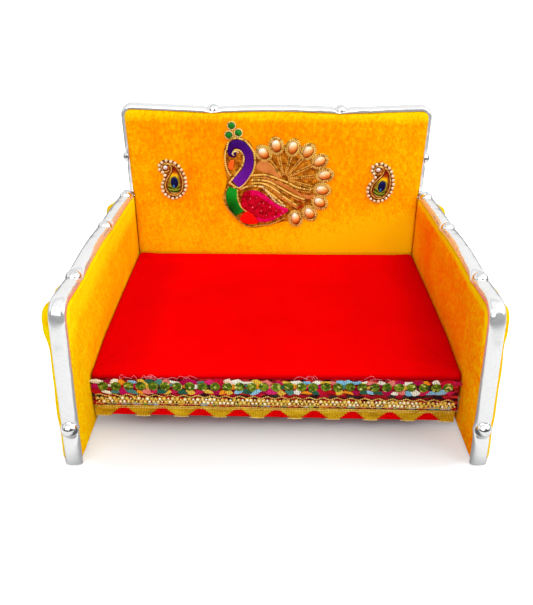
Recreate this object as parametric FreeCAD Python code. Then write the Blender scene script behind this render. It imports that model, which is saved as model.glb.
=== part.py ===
import FreeCAD, Part

import math
import os

Vector = FreeCAD.Vector

# A small upholstered seat for a household deity, in millimetres.
# X runs across the seat, Y from its front to its back, Z up from the floor.
# The pieces are laid out from the middle of the seat's front face and then moved back
# so that the origin is under the middle of the whole object.

# Driving sizes of the seat
seat_width = 240.0
seat_depth = 185.0
seat_height = 44.6
seat_underside = 11.0
seat_side_radius = 4.5
seat_crown = 1.2
seat_front_radius = 6.0
crown_shares = (0.0, 0.3, 0.6, 0.85, 1.0)
side_turns = (25.0, 50.0, 75.0)
seat_board_thick = 12.0
seat_tuck = 15.0

# Cloth, padding and boards
velvet_thick = 0.8
arm_board_thick = 9.0
arm_pad_thick = 1.2
back_board_thick = 9.0
back_pad_thick = 2.4
joint_gap = 0.15
pad_gap = 0.1

# Arm profile, distances from the seat's front face and heights from the floor
arm_foot_reach = 36.0
arm_corner_reach = 26.3
arm_rear_height = 95.8
arm_corner_rise = 8.1
arm_corner_radius = 10.0
arm_rear_radius = 5.0
arm_rear_nail_setback = 17.2
arm_rear_nail_rise = 0.9
arm_middle_nail_share = 0.533
arm_middle_nail_rise = 4.5
arm_fore_nail_y = 14.4
arm_fore_nail_rise = 6.2
arm_foot_nail_height = 25.0
arm_rear_crest = 0.7
arm_middle_crest = 2.2

# Back rest profile
back_shoulder_drop = 0.4
back_corner_rise = 2.6
back_corner_flare = 1.6
back_corner_radius = 6.0
back_top_nail_x = 51.0
back_top_nail_height = 166.3
back_top_crest = 1.4
back_low_trim_length = 28.7

# Half-round metal trim and its domed nails
strip_width = 10.25
strip_depth = 3.6
strip_setback_arm = 0.0
strip_setback_back = 1.0
strip_foot_gap = 0.4
strip_end_gap = 0.4
tab_thick = 1.0
pinch_run = 4.0
dome_radius = 5.3
dome_rise = 4.8
shank_radius = 0.9
shank_length = 14.0
nail_clearance = 0.05

# Wire nails that join the boards
wire_radius = 0.8
wire_length = 28.0
wire_head_radius = 2.0
wire_head_thick = 0.8
seat_nail_depth_shares = (0.15, 0.5, 0.85)
back_nail_height_shares = (0.22, 0.52, 0.82)

# Laces on the seat's front
lace_thick = 0.8
lace_left_inset = 1.4
lace_right_inset = 2.2
lace_top_left_share = 0.865
lace_top_right_share = 0.843
lace_low_left_share = 0.421
lace_low_right_share = 0.318
gota_thick = 0.6
gota_low_left_share = 0.224
gota_low_right_share = 0.108
gota_gap = 0.2
sequin_pitch = 7.95
sequin_radius = 3.1
sequin_thick = 0.4
sequin_below_top = 5.2
ring_bead_radius = 1.5
ring_bead_wire = 0.5
ring_line_above_low = 4.2
gold_cord_wire = 0.6
gold_cord_swing_height = 0.9

# Peacock patch, places as shares of its width and height about its centre
peacock_width = 91.0
peacock_height = 90.0
peacock_centre_x = 0.4
peacock_centre_z_share = 0.58
net_thick = 0.6
satin_thick = 1.4
cord_thick = 1.0
cord_half_width = 0.65
gem_radius = 2.7
gem_rise = 1.9
gem_rim_width = 0.8
gem_rim_thick = 1.0
pearl_half_length = 5.0
pearl_half_width = 3.6
pearl_gap = 0.1
pearl_rim_width = 0.9
pearl_rim_thick = 1.2

net_shares = ((-0.464, 0.264), (-0.400, 0.340), (-0.309, 0.349), (-0.227, 0.264), (-0.173, 0.264),
              (-0.082, 0.292), (0.000, 0.349), (0.136, 0.358), (0.282, 0.321), (0.400, 0.226),
              (0.482, 0.085), (0.500, -0.057), (0.473, -0.208), (0.436, -0.321), (0.336, -0.443),
              (0.182, -0.491), (0.091, -0.406), (-0.082, -0.481), (-0.264, -0.500), (-0.391, -0.406),
              (-0.490, -0.255), (-0.482, -0.151), (-0.458, -0.057), (-0.473, 0.085))
neck_spine_shares = ((-0.368, 0.200), (-0.405, 0.195), (-0.424, 0.236), (-0.389, 0.289),
                     (-0.323, 0.285), (-0.273, 0.226), (-0.255, 0.151), (-0.268, 0.066),
                     (-0.318, -0.019), (-0.388, -0.084))
neck_half_shares = (0.018, 0.021, 0.026, 0.036, 0.041, 0.043, 0.042, 0.045, 0.052, 0.054)
breast_spine_shares = ((-0.412, -0.140), (-0.413, -0.195), (-0.408, -0.255), (-0.382, -0.314),
                       (-0.349, -0.360))
breast_half_shares = (0.043, 0.056, 0.055, 0.050, 0.043)
belly_shares = ((-0.318, -0.398), (-0.300, -0.362), (-0.270, -0.352), (-0.228, -0.380),
                (-0.194, -0.416), (-0.176, -0.450), (-0.227, -0.467), (-0.284, -0.462),
                (-0.325, -0.440))
wing_shares = ((-0.322, -0.302), (-0.330, -0.226), (-0.309, -0.160), (-0.264, -0.137),
               (-0.191, -0.137), (-0.127, -0.165), (-0.064, -0.222), (0.000, -0.269),
               (0.064, -0.302), (0.105, -0.321), (0.073, -0.358), (0.018, -0.396),
               (-0.055, -0.434), (-0.136, -0.448), (-0.176, -0.428), (-0.204, -0.390),
               (-0.240, -0.352), (-0.286, -0.330))
beak_shares = ((-0.429, 0.139), (-0.391, 0.145), (-0.391, 0.107), (-0.417, 0.055))
beak_cord_shares = ((-0.462, 0.230), (-0.470, 0.150), (-0.450, 0.050), (-0.415, -0.010))
fan_root_shares = (0.064, -0.028)
pearl_place_shares = ((-0.122, 0.210), (-0.009, 0.278), (0.139, 0.263), (0.274, 0.229),
                      (0.382, 0.140), (0.433, 0.011), (0.415, -0.131), (0.396, -0.252),
                      (0.306, -0.361), (0.175, -0.413))
stem_count = 6
stem_start_share = 0.075
feather_shares = (((-0.225, 0.005), (-0.130, 0.012), (-0.055, -0.003), (0.021, -0.031),
                   (0.097, -0.062), (0.173, -0.102), (0.248, -0.121), (0.325, -0.128)),
                  ((-0.225, -0.040), (-0.161, -0.038), (-0.070, -0.055), (0.021, -0.106),
                   (0.112, -0.160), (0.188, -0.200), (0.264, -0.226)),
                  ((-0.225, -0.075), (-0.161, -0.066), (-0.085, -0.090), (-0.009, -0.137),
                   (0.066, -0.200), (0.143, -0.255), (0.203, -0.291)),
                  ((-0.330, -0.125), (-0.274, -0.102), (-0.198, -0.097), (-0.130, -0.113),
                   (-0.070, -0.160), (-0.009, -0.212), (0.060, -0.270)))
body_cord_shares = ((-0.485, -0.170), (-0.488, -0.224), (-0.462, -0.309), (-0.405, -0.385),
                    (-0.348, -0.440), (-0.290, -0.487), (-0.236, -0.496), (-0.161, -0.486),
                    (-0.070, -0.475), (0.006, -0.444), (0.085, -0.400))
gem_place_shares = ((-0.405, 0.458), (-0.430, 0.375), (-0.346, 0.395))

# Paisley brooches, places as shares of the brooch's height about its centre
paisley_height = 36.0
paisley_side_inset = 35.8
paisley_centre_z_share = 0.55
paisley_right_turn = -13.0
paisley_right_drop = 2.0
paisley_right_shift = 1.2
paisley_base_thick = 1.0
paisley_bead_radius = 1.15
paisley_bead_sink_share = 0.4
paisley_enamel_thick = 0.9
paisley_stone_rise = 1.2
paisley_eye_radius = 2.0

paisley_base_shares = ((-0.128, 0.488), (-0.020, 0.475), (0.080, 0.428), (0.172, 0.345),
                       (0.250, 0.220), (0.300, 0.080), (0.318, -0.060), (0.300, -0.230),
                       (0.220, -0.385), (0.100, -0.475), (0.020, -0.492), (-0.090, -0.475),
                       (-0.200, -0.400), (-0.280, -0.290), (-0.295, -0.160), (-0.262, -0.040),
                       (-0.215, 0.060), (-0.225, 0.130), (-0.300, 0.200), (-0.325, 0.290),
                       (-0.300, 0.400), (-0.225, 0.470))
paisley_bead_shares = ((-0.128, 0.450), (-0.025, 0.430), (0.070, 0.390), (0.150, 0.322),
                       (0.208, 0.232), (0.250, 0.138), (0.280, 0.045), (0.290, -0.050),
                       (0.288, -0.145), (0.265, -0.238), (0.218, -0.322), (0.148, -0.390),
                       (0.062, -0.435), (-0.032, -0.445), (-0.122, -0.410), (-0.198, -0.350),
                       (-0.248, -0.268), (-0.262, -0.172), (-0.242, -0.078), (-0.205, 0.012),
                       (-0.178, 0.105), (-0.228, 0.180), (-0.292, 0.242), (-0.298, 0.335),
                       (-0.232, 0.405))
paisley_enamel_shares = ((0.050, 0.322), (0.130, 0.180), (0.178, 0.030), (0.180, -0.130),
                         (0.120, -0.275), (0.030, -0.335), (-0.070, -0.300), (-0.145, -0.190),
                         (-0.140, -0.070), (-0.070, 0.060), (0.000, 0.180))
paisley_stone_centre_shares = (0.033, -0.058)
paisley_stone_half_shares = (0.084, 0.130)
paisley_eye_shares = (-0.158, 0.290)

# Sizes that follow from those above
arm_thick = arm_board_thick + 2 * arm_pad_thick + 2 * velvet_thick
arm_inner_x = seat_width / 2
arm_outer_x = arm_inner_x + arm_thick
back_thick = back_board_thick + back_pad_thick + 2 * velvet_thick
seat_half = seat_width / 2 - joint_gap
arm_rear_reach = seat_depth + back_thick
arm_rear_nail_y = arm_rear_reach - arm_rear_nail_setback
arm_middle_nail_y = arm_fore_nail_y + (arm_rear_nail_y - arm_fore_nail_y) * arm_middle_nail_share
arm_rear_nail_height = arm_rear_height + arm_rear_nail_rise
arm_middle_nail_height = arm_rear_height + arm_middle_nail_rise
arm_fore_nail_height = arm_rear_height + arm_fore_nail_rise
arm_corner_height = arm_rear_height + arm_corner_rise
arm_strip_x = arm_inner_x + strip_setback_arm + strip_width / 2
back_strip_y = seat_depth + strip_setback_back + strip_width / 2
back_front_y = seat_depth
back_shoulder_height = arm_rear_height - back_shoulder_drop
back_corner_height = back_top_nail_height + back_corner_rise
back_corner_half_width = seat_width / 2 + back_corner_flare
back_low_trim_height = arm_rear_nail_height + strip_depth
back_side_nail_height = back_low_trim_height + back_low_trim_length
lace_left_x = lace_left_inset - seat_width / 2
lace_right_x = seat_width / 2 - lace_right_inset
lace_top_left = seat_height * lace_top_left_share
lace_top_right = seat_height * lace_top_right_share
lace_low_left = seat_height * lace_low_left_share
lace_low_right = seat_height * lace_low_right_share
gota_low_left = seat_height * gota_low_left_share
gota_low_right = seat_height * gota_low_right_share
back_bare_height = back_top_nail_height - seat_height
peacock_centre_z = seat_height + back_bare_height * peacock_centre_z_share
paisley_centre_x = back_corner_half_width - paisley_side_inset
paisley_centre_z = seat_height + back_bare_height * paisley_centre_z_share
frame_shift = (arm_foot_reach + strip_depth - arm_rear_reach) / 2
overrun = 2 * velvet_thick


def along(start, end, share):
    """The point that lies a share of the way from one profile point to the next."""
    return tuple(a + (b - a) * share for a, b in zip(start, end))


def crest_point(start, end, rise):
    """The middle of a low arc over a chord, for a profile point pair."""
    run = [b - a for a, b in zip(start, end)]
    length = math.hypot(run[0], run[1])
    middle = along(start, end, 1 / 2)
    upward = (run[1] / length, -run[0] / length)
    if upward[1] < 0:
        upward = (-upward[0], -upward[1])
    return (middle[0] + upward[0] * rise, middle[1] + upward[1] * rise)


def round_corner(before, corner, after, radius):
    """Start, middle and end of the arc that rounds a corner between two straight runs."""
    to_before = Vector(before[0] - corner[0], before[1] - corner[1], 0).normalize()
    to_after = Vector(after[0] - corner[0], after[1] - corner[1], 0).normalize()
    half_angle = to_before.getAngle(to_after) / 2
    bisector = (to_before + to_after).normalize()
    tangent_length = radius / math.tan(half_angle)
    centre_length = radius / math.sin(half_angle)
    tip = Vector(corner[0], corner[1], 0)
    points = (tip + to_before * tangent_length,
              tip + bisector * (centre_length - radius),
              tip + to_after * tangent_length)
    return tuple((point.x, point.y) for point in points)


def edges_from(runs, place):
    """Lines for runs of two points and arcs for runs of three, set into space by place."""
    edges = []
    for run in runs:
        points = [place(point) for point in run]
        maker = Part.LineSegment if len(points) == 2 else Part.Arc
        edges.append(maker(*points).toShape())
    return edges


def prism(runs, place, travel):
    """A closed profile swept straight along a vector."""
    face = Part.Face(Part.Wire(edges_from(runs, place)))
    return face.extrude(travel)


def across(x):
    """Sets a profile point of depth and height into the plane at x."""
    return lambda point: Vector(x, point[0], point[1])


def facing(y):
    """Sets a profile point of width and height into the plane at y."""
    return lambda point: Vector(point[0], y, point[1])


def mirrored(runs):
    """The same runs on the other side of the middle, in order from that side."""
    return [tuple((-point[0], point[1]) for point in reversed(run)) for run in reversed(runs)]


def box(low, high):
    """A block between two corners."""
    return Part.makeBox(high[0] - low[0], high[1] - low[1], high[2] - low[2], Vector(*low))


def arm_points(inset):
    """Named profile points of an arm, drawn in by inset everywhere but at the floor."""
    foot = (inset - arm_foot_reach, 0)
    corner = (inset - arm_corner_reach, arm_corner_height - inset)
    fore = (arm_fore_nail_y, arm_fore_nail_height - inset)
    middle = (arm_middle_nail_y, arm_middle_nail_height - inset)
    rear = (arm_rear_nail_y, arm_rear_nail_height - inset)
    rear_corner = (arm_rear_reach - inset, arm_rear_height - inset)
    rear_foot = (arm_rear_reach - inset, 0)
    return foot, corner, fore, middle, rear, rear_corner, rear_foot


def arm_runs(inset):
    """Closed outline of an arm from its rear foot over the top to its front foot."""
    foot, corner, fore, middle, rear, rear_corner, rear_foot = arm_points(inset)
    front_round = round_corner(fore, corner, foot, arm_corner_radius - inset)
    rear_round = round_corner(rear_foot, rear_corner, rear, arm_rear_radius - inset)
    return [(rear_foot, rear_round[0]),
            rear_round,
            (rear_round[2], rear),
            (rear, crest_point(rear, middle, arm_rear_crest), middle),
            (middle, crest_point(middle, fore, arm_middle_crest), fore),
            (fore, front_round[0]),
            front_round,
            (front_round[2], foot),
            (foot, rear_foot)]


def arm_foot_nail():
    """The point on an arm's sloping front edge where its foot nail sits."""
    foot, corner = arm_points(0)[:2]
    return along(foot, corner, arm_foot_nail_height / arm_corner_height)


def back_points(inset):
    """Named profile points of the right half of the back rest, drawn in by inset."""
    half = seat_half - inset
    low = (half, seat_underside)
    shoulder = (half, back_shoulder_height)
    corner = (back_corner_half_width - inset, back_corner_height - inset)
    top = (back_top_nail_x, back_top_nail_height - inset)
    return low, shoulder, corner, top


def back_runs(inset):
    """Closed outline of the back rest, from its low right corner over the top."""
    low, shoulder, corner, top = back_points(inset)
    right_round = round_corner(shoulder, corner, top, back_corner_radius - inset)
    right = [(low, shoulder), (shoulder, right_round[0]), right_round, (right_round[2], top)]
    left = mirrored(right)
    far_top = (-top[0], top[1])
    crest = crest_point(far_top, top, back_top_crest)
    return right + [(top, crest, far_top)] + left + [((-low[0], low[1]), low)]


def back_side_nail():
    """The point on the back rest's sloping right edge where its side nail sits."""
    low, shoulder, corner, top = back_points(0)
    share = (back_side_nail_height - back_shoulder_height) / (corner[1] - shoulder[1])
    return along(shoulder, corner, share)


def dome_nail(point, outward):
    """A domed cap on a round shank, its seat on top of the flattened trim."""
    seat = Vector(0, 0, tab_thick)
    sphere_radius = (dome_radius ** 2 + dome_rise ** 2) / (2 * dome_rise)
    slope = math.asin(dome_radius / sphere_radius) / 2
    crown_base = tab_thick + dome_rise - sphere_radius
    shoulder = Vector(sphere_radius * math.sin(slope), 0,
                      crown_base + sphere_radius * math.cos(slope))
    rim = Vector(dome_radius, 0, tab_thick)
    top = Vector(0, 0, tab_thick + dome_rise)
    tip = Vector(0, 0, tab_thick - shank_length)
    shank_low = Vector(shank_radius, 0, tip.z)
    shank_high = Vector(shank_radius, 0, seat.z)
    edges = [Part.Arc(top, shoulder, rim).toShape()]
    corners = (rim, shank_high, shank_low, tip, top)
    for start, end in zip(corners, corners[1:]):
        edges.append(Part.LineSegment(start, end).toShape())
    nail = Part.Face(Part.Wire(edges)).revolve(Vector(0, 0, 0), Vector(0, 0, 1), 360)
    return set_on(nail, point, outward)


def set_on(shape, point, outward):
    """Turns a shape made about the Z axis to point outward, and moves it to a point."""
    turn = FreeCAD.Rotation(Vector(0, 0, 1), outward)
    return shape.transformed(FreeCAD.Placement(point, turn).toMatrix())


def shank_hole(point, outward):
    """The clear hole for a dome nail's shank, in trim, cloth and board."""
    depth = shank_length + nail_clearance
    hole = Part.makeCylinder(shank_radius + nail_clearance, depth + strip_depth,
                             Vector(0, 0, tab_thick - depth))
    return set_on(hole, point, outward)


def pinch_relief(point, outward):
    """What is pressed away from the trim round a nail."""
    rise = strip_depth + velvet_thick
    inner = dome_radius + nail_clearance
    cone = Part.makeCone(inner, inner + pinch_run, rise, Vector(0, 0, tab_thick))
    return set_on(cone, point, outward)


def end_slit(point, outward, sideways):
    """The narrow gap between two lengths of trim that end under one nail."""
    forward = outward.cross(sideways)
    half_gap = strip_end_gap / 2
    half_width = strip_width / 2 + velvet_thick
    start = point + forward * (-half_gap) + sideways * (-half_width) - outward * velvet_thick
    corners = [start, start + forward * strip_end_gap,
               start + forward * strip_end_gap + sideways * (2 * half_width),
               start + sideways * (2 * half_width), start]
    face = Part.Face(Part.makePolygon(corners))
    return face.extrude(outward * (strip_depth + 2 * velvet_thick))


def half_round(runs, place, sideways):
    """Half-round trim that follows a path, its flat side on the cloth."""
    path = Part.Wire(edges_from(runs, place))
    start = path.OrderedVertexes[0].Point
    first = path.OrderedEdges[0]
    near_start = first.valueAt(first.FirstParameter).isEqual(start, joint_gap)
    tangent = first.tangentAt(first.FirstParameter if near_start else first.LastParameter)
    tangent = tangent if near_start else tangent * -1
    outward = tangent.cross(sideways)
    half = sideways * (strip_width / 2)
    section = Part.Wire([Part.Arc(start - half, start + outward * strip_depth,
                                  start + half).toShape(),
                         Part.LineSegment(start + half, start - half).toShape()])
    sweep = Part.BRepOffsetAPI.MakePipeShell(path)
    sweep.setBiNormalMode(sideways)
    sweep.add(section)
    sweep.build()
    sweep.makeSolid()
    return sweep.shape()


def arm_nails(x):
    """Places and outward directions of an arm's domed nails, rear to foot."""
    foot, corner, fore, middle, rear, rear_corner, rear_foot = arm_points(0)
    up = Vector(0, 0, 1)
    slope = Vector(0, corner[0] - foot[0], corner[1] - foot[1]).normalize()
    front = slope.cross(Vector(1, 0, 0)) * -1
    if front.y > 0:
        front = front * -1
    return [(across(x)(rear), up), (across(x)(middle), up), (across(x)(fore), up),
            (across(x)(arm_foot_nail()), front)]


def back_nails():
    """Places and outward directions of the back rest's domed nails, left to right."""
    shoulder, corner, top = back_points(0)[1:]
    place = facing(back_strip_y)
    rise = Vector(corner[0] - shoulder[0], 0, corner[1] - shoulder[1]).normalize()
    right_out = Vector(rise.z, 0, -rise.x)
    left_out = Vector(-rise.z, 0, -rise.x)
    up = Vector(0, 0, 1)
    side = back_side_nail()
    return [(place((-side[0], side[1])), left_out), (place((-top[0], top[1])), up),
            (place(top), up), (place(side), right_out)]


def cut_all(shape, tools):
    """Takes a list of tools out of a shape."""
    return shape.cut(Part.makeCompound(tools)) if tools else shape


def cut_in_turn(shape, tools):
    """Takes tools that overlap each other out of a shape, one after another."""
    for tool in tools:
        shape = shape.cut(tool)
    return shape


def wire_nail(point, inward):
    """A flat-headed wire nail, its head let into the board that it starts from."""
    shank = Part.makeCylinder(wire_radius, wire_length, point, inward)
    head = Part.makeCylinder(wire_head_radius, wire_head_thick, point, inward)
    return shank.fuse(head).removeSplitter()


def wire_hole(point, inward):
    """The hole that a wire nail fills, with its clearance."""
    shank = Part.makeCylinder(wire_radius + nail_clearance, wire_length + nail_clearance,
                              point, inward)
    head = Part.makeCylinder(wire_head_radius + nail_clearance,
                             wire_head_thick + nail_clearance, point, inward)
    return shank.fuse(head)


def wire_places(side):
    """Where the wire nails start on one arm board's outer face, for the seat and the back."""
    x = side * (arm_outer_x - velvet_thick - arm_pad_thick)
    inward = Vector(-side, 0, 0)
    seat_z = seat_underside + velvet_thick + seat_board_thick / 2
    back_y = back_front_y + velvet_thick + back_pad_thick + back_board_thick / 2
    seat = [(Vector(x, seat_depth * share, seat_z), inward) for share in seat_nail_depth_shares]
    back = [(Vector(x, back_y, back_shoulder_height * share), inward)
            for share in back_nail_height_shares]
    return seat, back


def make_arm(side, name):
    """Board, padding, velvet, trim and nails of one arm; side is -1 or 1."""
    inner, outer = side * arm_inner_x, side * arm_outer_x
    cloth, pad = side * velvet_thick, side * arm_pad_thick
    seat_nails, rear_nails = wire_places(side)
    wires = [wire_hole(*place) for place in seat_nails + rear_nails]
    x = side * arm_strip_x
    nails = arm_nails(x)
    shanks = [shank_hole(*nail) for nail in nails]
    board_x = inner + cloth + pad
    outline = arm_runs(velvet_thick)
    board = prism(outline, across(board_x), Vector(side * arm_board_thick, 0, 0))
    parts[name + "_arm_board"] = cut_all(board, wires + shanks)
    pads = []
    for start in (inner + cloth, outer - cloth - pad):
        sheet = prism(outline, across(start), Vector(pad, 0, 0))
        pads.append(cut_all(sheet, wires))
    parts[name + "_arm_padding"] = Part.makeCompound(pads)
    cover = prism(arm_runs(0), across(inner), Vector(outer - inner, 0, 0))
    core_travel = outer - inner - 2 * cloth
    core = prism(outline, across(inner + cloth), Vector(core_travel, 0, 0))
    slot = box((min(inner + cloth, outer - cloth), velvet_thick - arm_foot_reach, -overrun),
               (max(inner + cloth, outer - cloth), arm_rear_reach - velvet_thick, 0))
    parts[name + "_arm_velvet"] = cut_all(cover, [core.fuse(slot)] + wires + shanks)
    make_arm_trim(side, name, x, nails, shanks)


def make_arm_trim(side, name, x, nails, shanks):
    """The five lengths of half-round trim along an arm, and its domed nails."""
    foot, corner, fore, middle, rear, rear_corner, rear_foot = arm_points(0)
    front_round = round_corner(fore, corner, foot, arm_corner_radius)
    rear_round = round_corner(rear_foot, rear_corner, rear, arm_rear_radius)
    low_nail = arm_foot_nail()
    low_end = along(foot, corner, strip_foot_gap / arm_corner_height)
    lengths = {
        "rear": [(rear_round[2], rear)],
        "middle": [(rear, crest_point(rear, middle, arm_rear_crest), middle)],
        "long": [(middle, crest_point(middle, fore, arm_middle_crest), fore)],
        "corner": [(fore, front_round[0]), front_round, (front_round[2], low_nail)],
        "foot": [(low_nail, low_end)],
    }
    sideways = Vector(1, 0, 0)
    relief = [pinch_relief(*nail) for nail in nails]
    slits = [end_slit(nail[0], nail[1], sideways) for nail in nails]
    for part_name, runs in lengths.items():
        trim = half_round(runs, across(x), sideways)
        parts[name + "_arm_trim_" + part_name] = cut_in_turn(trim, relief + slits + shanks)
    parts[name + "_arm_dome_nails"] = Part.makeCompound([dome_nail(*nail) for nail in nails])


def make_back():
    """Board, padding, velvet, trim and nails of the back rest."""
    wires = []
    for side in (-1, 1):
        wires += [wire_hole(*place) for place in wire_places(side)[1]]
    nails = back_nails()
    shanks = [shank_hole(*nail) for nail in nails]
    outline = back_runs(velvet_thick)
    pad_y = back_front_y + velvet_thick
    board_y = pad_y + back_pad_thick
    padding = prism(outline, facing(pad_y), Vector(0, back_pad_thick, 0))
    board = prism(outline, facing(board_y), Vector(0, back_board_thick, 0))
    parts["back_board"] = cut_all(board, wires + shanks)
    parts["back_padding"] = padding
    cover = prism(back_runs(0), facing(back_front_y), Vector(0, back_thick, 0))
    core = prism(outline, facing(pad_y), Vector(0, back_thick - 2 * velvet_thick, 0))
    parts["back_velvet"] = cut_all(cover, [core] + wires + shanks)
    make_back_trim(nails, shanks)


def make_back_trim(nails, shanks):
    """The five lengths of half-round trim round the back rest, and its domed nails."""
    low, shoulder, corner, top = back_points(0)
    side = back_side_nail()
    low_share = (back_low_trim_height - shoulder[1]) / (corner[1] - shoulder[1])
    low_end = along(shoulder, corner, low_share)
    right_round = round_corner(shoulder, corner, top, back_corner_radius)
    corner_runs = [(side, right_round[0]), right_round, (right_round[2], top)]
    far_top = (-top[0], top[1])
    lengths = {
        "right_low": [(low_end, side)],
        "right_corner": corner_runs,
        "top": [(top, crest_point(far_top, top, back_top_crest), far_top)],
        "left_corner": mirrored(corner_runs),
        "left_low": mirrored([(low_end, side)]),
    }
    sideways = Vector(0, -1, 0)
    relief = [pinch_relief(*nail) for nail in nails]
    slits = [end_slit(nail[0], nail[1], sideways) for nail in nails]
    for part_name, runs in lengths.items():
        trim = half_round(runs, facing(back_strip_y), sideways)
        parts["back_trim_" + part_name] = cut_in_turn(trim, relief + slits + shanks)
    parts["back_dome_nails"] = Part.makeCompound([dome_nail(*nail) for nail in nails])


quarter = math.cos(math.pi / 4)


def seat_stations():
    """Places across the seat for its lofts, and how far the crown has dropped at each."""
    flat_half = seat_half - seat_side_radius
    stations = [(share * flat_half, seat_crown * share ** 2) for share in crown_shares]
    last_turn = math.radians(side_turns[-1])
    for turn in side_turns:
        angle = math.radians(turn)
        reach = math.sin(angle) / math.sin(last_turn)
        drop = seat_crown + seat_side_radius * (1 - math.cos(angle))
        stations.append((flat_half + seat_side_radius * reach, drop))
    return [(-x, drop) for x, drop in reversed(stations[1:])] + stations


def seat_top_runs(x, drop, inset):
    """Rear to front over the seat: the crowned top, the rounded front edge, the front."""
    high = seat_height - drop - inset
    edge = high - seat_crown
    radius = seat_front_radius - inset
    rear = seat_depth - joint_gap
    front = inset
    turn = (front + radius - radius * quarter, edge - radius + radius * quarter)
    return [((rear, edge), ((rear + front + radius) / 2, high), (front + radius, edge)),
            ((front + radius, edge), turn, (front, edge - radius))]


def foam_section(x, drop):
    """One closed station of the foam block."""
    inset = velvet_thick + pad_gap
    runs = seat_top_runs(x, drop, inset)
    base = seat_underside + velvet_thick + seat_board_thick
    rear = runs[0][0][0]
    low_front = (inset, base)
    runs += [(runs[1][2], low_front), (low_front, (rear, base)), ((rear, base), runs[0][0])]
    return Part.Wire(edges_from(runs, across(x)))


def cloth_section(x, drop):
    """One closed station of the seat's velvet, from the rear over the front to the tuck."""
    outer = seat_top_runs(x, drop, 0)
    inner = seat_top_runs(x, drop, velvet_thick)
    under = seat_underside + velvet_thick
    outer_low, outer_tuck = (0, seat_underside), (seat_tuck, seat_underside)
    inner_low, inner_tuck = (velvet_thick, under), (seat_tuck, under)
    back_inner = [tuple(reversed(run)) for run in reversed(inner)]
    runs = outer + [(outer[1][2], outer_low), (outer_low, outer_tuck), (outer_tuck, inner_tuck),
                    (inner_tuck, inner_low), (inner_low, inner[1][2])]
    runs += back_inner + [(inner[0][0], outer[0][0])]
    return Part.Wire(edges_from(runs, across(x)))


def make_seat():
    """Board, crowned foam and velvet of the seat, and the nails that hold the boards."""
    seat_wires, seat_nails, back_wire_nails = [], [], []
    for side in (-1, 1):
        seat, back = wire_places(side)
        seat_wires += [wire_hole(*place) for place in seat]
        seat_nails += [wire_nail(*place) for place in seat]
        back_wire_nails += [wire_nail(*place) for place in back]
    base = seat_underside + velvet_thick
    board = box((-seat_half, velvet_thick, base),
                (seat_half, seat_depth - joint_gap, base + seat_board_thick))
    parts["seat_board"] = cut_all(board, seat_wires)
    foam = [foam_section(x, drop) for x, drop in seat_stations()]
    cloth = [cloth_section(x, drop) for x, drop in seat_stations()]
    parts["seat_foam"] = Part.makeLoft(foam, True, True)
    parts["seat_velvet"] = Part.makeLoft(cloth, True, True)
    parts["seat_nails"] = Part.makeCompound(seat_nails)
    parts["back_nails"] = Part.makeCompound(back_wire_nails)


def lace_height(left, right, x):
    """Height at x of a line across the seat's front that falls from left to right."""
    share = (x - lace_left_x) / (lace_right_x - lace_left_x)
    return left + (right - left) * share


def band(low, high, thick):
    """A ribbon on the seat's front between two falling lines of heights."""
    corners = [(lace_left_x, low[0]), (lace_right_x, low[1]),
               (lace_right_x, high[1]), (lace_left_x, high[0])]
    runs = list(zip(corners, corners[1:] + corners[:1]))
    return prism(runs, facing(0), Vector(0, -thick, 0))


def make_laces():
    """The embroidered lace, its sequins, its gold cord with ring beads, and the gold lace."""
    low, high = (lace_low_left, lace_low_right), (lace_top_left, lace_top_right)
    parts["front_lace"] = band(low, high, lace_thick)
    gota_top = (lace_low_left - gota_gap, lace_low_right - gota_gap)
    parts["gold_lace"] = band((gota_low_left, gota_low_right), gota_top, gota_thick)
    count = int((lace_right_x - lace_left_x) / sequin_pitch)
    margin = (lace_right_x - lace_left_x - sequin_pitch * (count - 1)) / 2
    toward = Vector(0, -1, 0)
    sequins, rings = [], []
    swings = []
    for index in range(count):
        x = lace_left_x + margin + sequin_pitch * index
        z = lace_height(lace_top_left, lace_top_right, x) - sequin_below_top
        disc = Part.makeCylinder(sequin_radius, sequin_thick, Vector(x, -lace_thick, z), toward)
        sequins.append(disc)
        line = lace_height(lace_low_left, lace_low_right, x) + ring_line_above_low
        ring = Part.makeTorus(ring_bead_radius, ring_bead_wire,
                              Vector(x, -lace_thick - ring_bead_wire, line), toward)
        rings.append(ring)
        swings.append((x, line))
    parts["front_sequins"] = Part.makeCompound(sequins)
    parts["front_ring_beads"] = Part.makeCompound(rings)
    parts["front_gold_cord"] = gold_cord(swings)


def gold_cord(places):
    """Short gold lengths that swing up and down between neighbouring ring beads."""
    reach = ring_bead_radius + ring_bead_wire + gold_cord_wire
    y = -lace_thick - gold_cord_wire
    lengths = []
    for number, (start, end) in enumerate(zip(places, places[1:])):
        swing = gold_cord_swing_height if number % 2 else -gold_cord_swing_height
        first = (start[0] + reach, start[1])
        last = (end[0] - reach, end[1])
        middle = along(first, last, 1 / 2)
        run = [(first, (middle[0], middle[1] + swing), last)]
        path = Part.Wire(edges_from(run, facing(y)))
        edge = path.OrderedEdges[0]
        tangent = edge.tangentAt(edge.FirstParameter)
        tip = edge.valueAt(edge.FirstParameter)
        section = Part.Wire([Part.Circle(tip, tangent, gold_cord_wire).toShape()])
        lengths.append(path.makePipeShell([section], True, False))
    return Part.makeCompound(lengths)


def peacock_point(share):
    """A place on the peacock patch, as width and height on the back rest."""
    return (peacock_centre_x + share[0] * peacock_width,
            peacock_centre_z + share[1] * peacock_height)


def smooth_face(points, y):
    """A face inside a smooth closed curve through points."""
    curve = Part.BSplineCurve()
    curve.interpolate(Points=[facing(y)(point) for point in points], PeriodicFlag=True)
    return Part.Face(Part.Wire([curve.toShape()]))


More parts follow.
